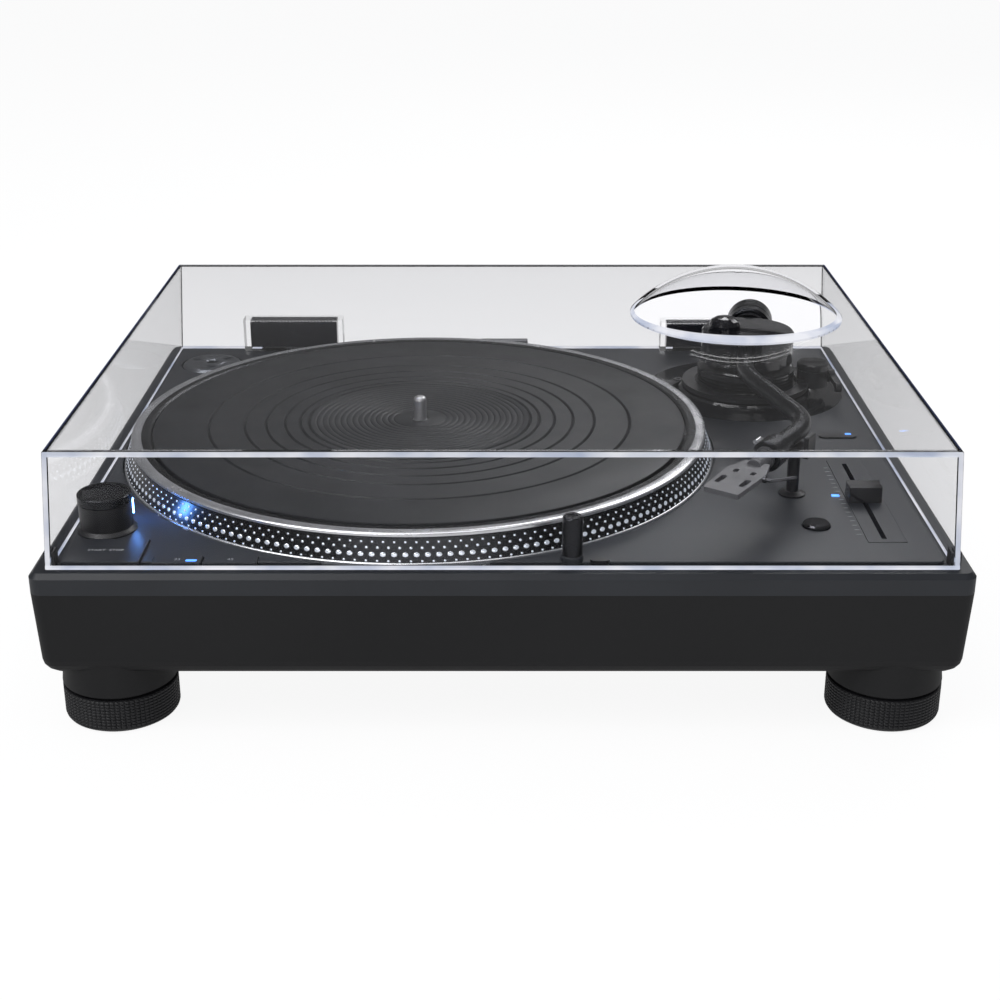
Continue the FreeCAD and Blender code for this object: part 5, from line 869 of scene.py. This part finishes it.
def glow(owner, kind, colour, strength):
    """A light-giving shader whose strength is a plain number or a socket."""
    node = add_node(owner, kind, Color=(*colour, 1))
    if isinstance(strength, float):
        node.inputs["Strength"].default_value = strength
    else:
        link(owner, strength, node.inputs["Strength"])
    return node.outputs[0]


# %% [markdown]
# ### The floor
# A table is seen as white round the object and grey in its shadow. A white board that catches shadow could
# be lit until it clips, but here a share of matt white, which takes the shadow, lies under the pure white.

# %% The floor
FLOOR_SIZE = 12.0
MIRRORED_FLOOR = 0.50
FLOOR_SHADED = 0.12
FLOOR_WHITE = 1.04


def white_floor():
    material = bpy.data.materials.new("white_floor")
    material.use_nodes = True
    material.node_tree.nodes.clear()
    seen, strength = seen_white(material, MIRRORED_FLOOR)
    matt = add_node(material, "ShaderNodeBsdfDiffuse", Color=(0.92, 0.92, 0.92, 1))
    white = glow(material, "ShaderNodeEmission", (1, 1, 1), maths(material, "MULTIPLY", strength, FLOOR_WHITE))
    share = maths(material, "MULTIPLY", seen, 1.0 - FLOOR_SHADED)
    output = add_node(material, "ShaderNodeOutputMaterial")
    link(material, mixed(material, share, matt.outputs[0], white), output.inputs["Surface"])
    return material


def lay_floor():
    half = FLOOR_SIZE / 2
    corners = [(-half, -half, 0), (half, -half, 0), (half, half, 0), (-half, half, 0)]
    mesh = bpy.data.meshes.new("floor")
    mesh.from_pydata(corners, [], [(0, 1, 2, 3)])
    mesh.materials.append(white_floor())
    floor = bpy.data.objects.new("floor", mesh)
    bpy.context.scene.collection.objects.link(floor)
    print("floor in metres:", FLOOR_SIZE)


lay_floor()

# %% [markdown]
# ### The room
# The room is the world's background: one white that is seen, and a dimmer, slightly blue one that lights.
# Mirrored rays get little of the white, as in a studio whose walls behind the camera are dark.

# %% The room
MIRRORED_LIGHT = 0.12
FILL_LIGHT = 0.40


def white_room():
    """White for the camera and through the clear cover, dim in reflections, soft grey as a light."""
    world = bpy.data.worlds.new("white_room")
    world.use_nodes = True
    bpy.context.scene.world = world
    seen, strength = seen_white(world, MIRRORED_LIGHT)
    fill = glow(world, "ShaderNodeBackground", (0.93, 0.95, 1.0), FILL_LIGHT)
    shown = glow(world, "ShaderNodeBackground", (1, 1, 1), strength)
    link(world, mixed(world, seen, fill, shown), world.node_tree.nodes["World Output"].inputs["Surface"])
    print("room's fill light:", FILL_LIGHT)


white_room()

# %% [markdown]
# ## The lamps
# A studio lights a dark, glossy object with large soft boxes, because their broad reflections draw its
# edges. One stands at the left, one behind, one above, and a low one in front lights the plinth's face.

# %% Lamps
AIM = (0, 0, 0.08)


def soft_box(name, place, size, watts):
    """An area lamp that looks from its place towards the middle of the object."""
    data = bpy.data.lights.new(name, "AREA")
    data.shape = "RECTANGLE"
    data.size, data.size_y = size
    data.energy = watts
    lamp = bpy.data.objects.new(name, data)
    lamp.location = place
    away = np.array(place) - np.array(AIM)
    yaw = math.atan2(away[0], -away[1])
    pitch = math.atan2(math.hypot(away[0], away[1]), away[2])
    lamp.rotation_euler = (pitch, 0, yaw)
    bpy.context.scene.collection.objects.link(lamp)
    print(name, watts, "W")


soft_box("key_light", (-0.9, -0.7, 1.5), (1.2, 1.2), 12)
soft_box("rear_light", (0.7, 1.2, 1.3), (1.4, 0.8), 9)
soft_box("top_light", (0.0, -0.1, 1.9), (1.2, 1.0), 5)
soft_box("low_front_light", (0.0, -2.4, 0.85), (2.4, 0.8), 7)
bpy.context.scene.view_settings.view_transform = "Standard"
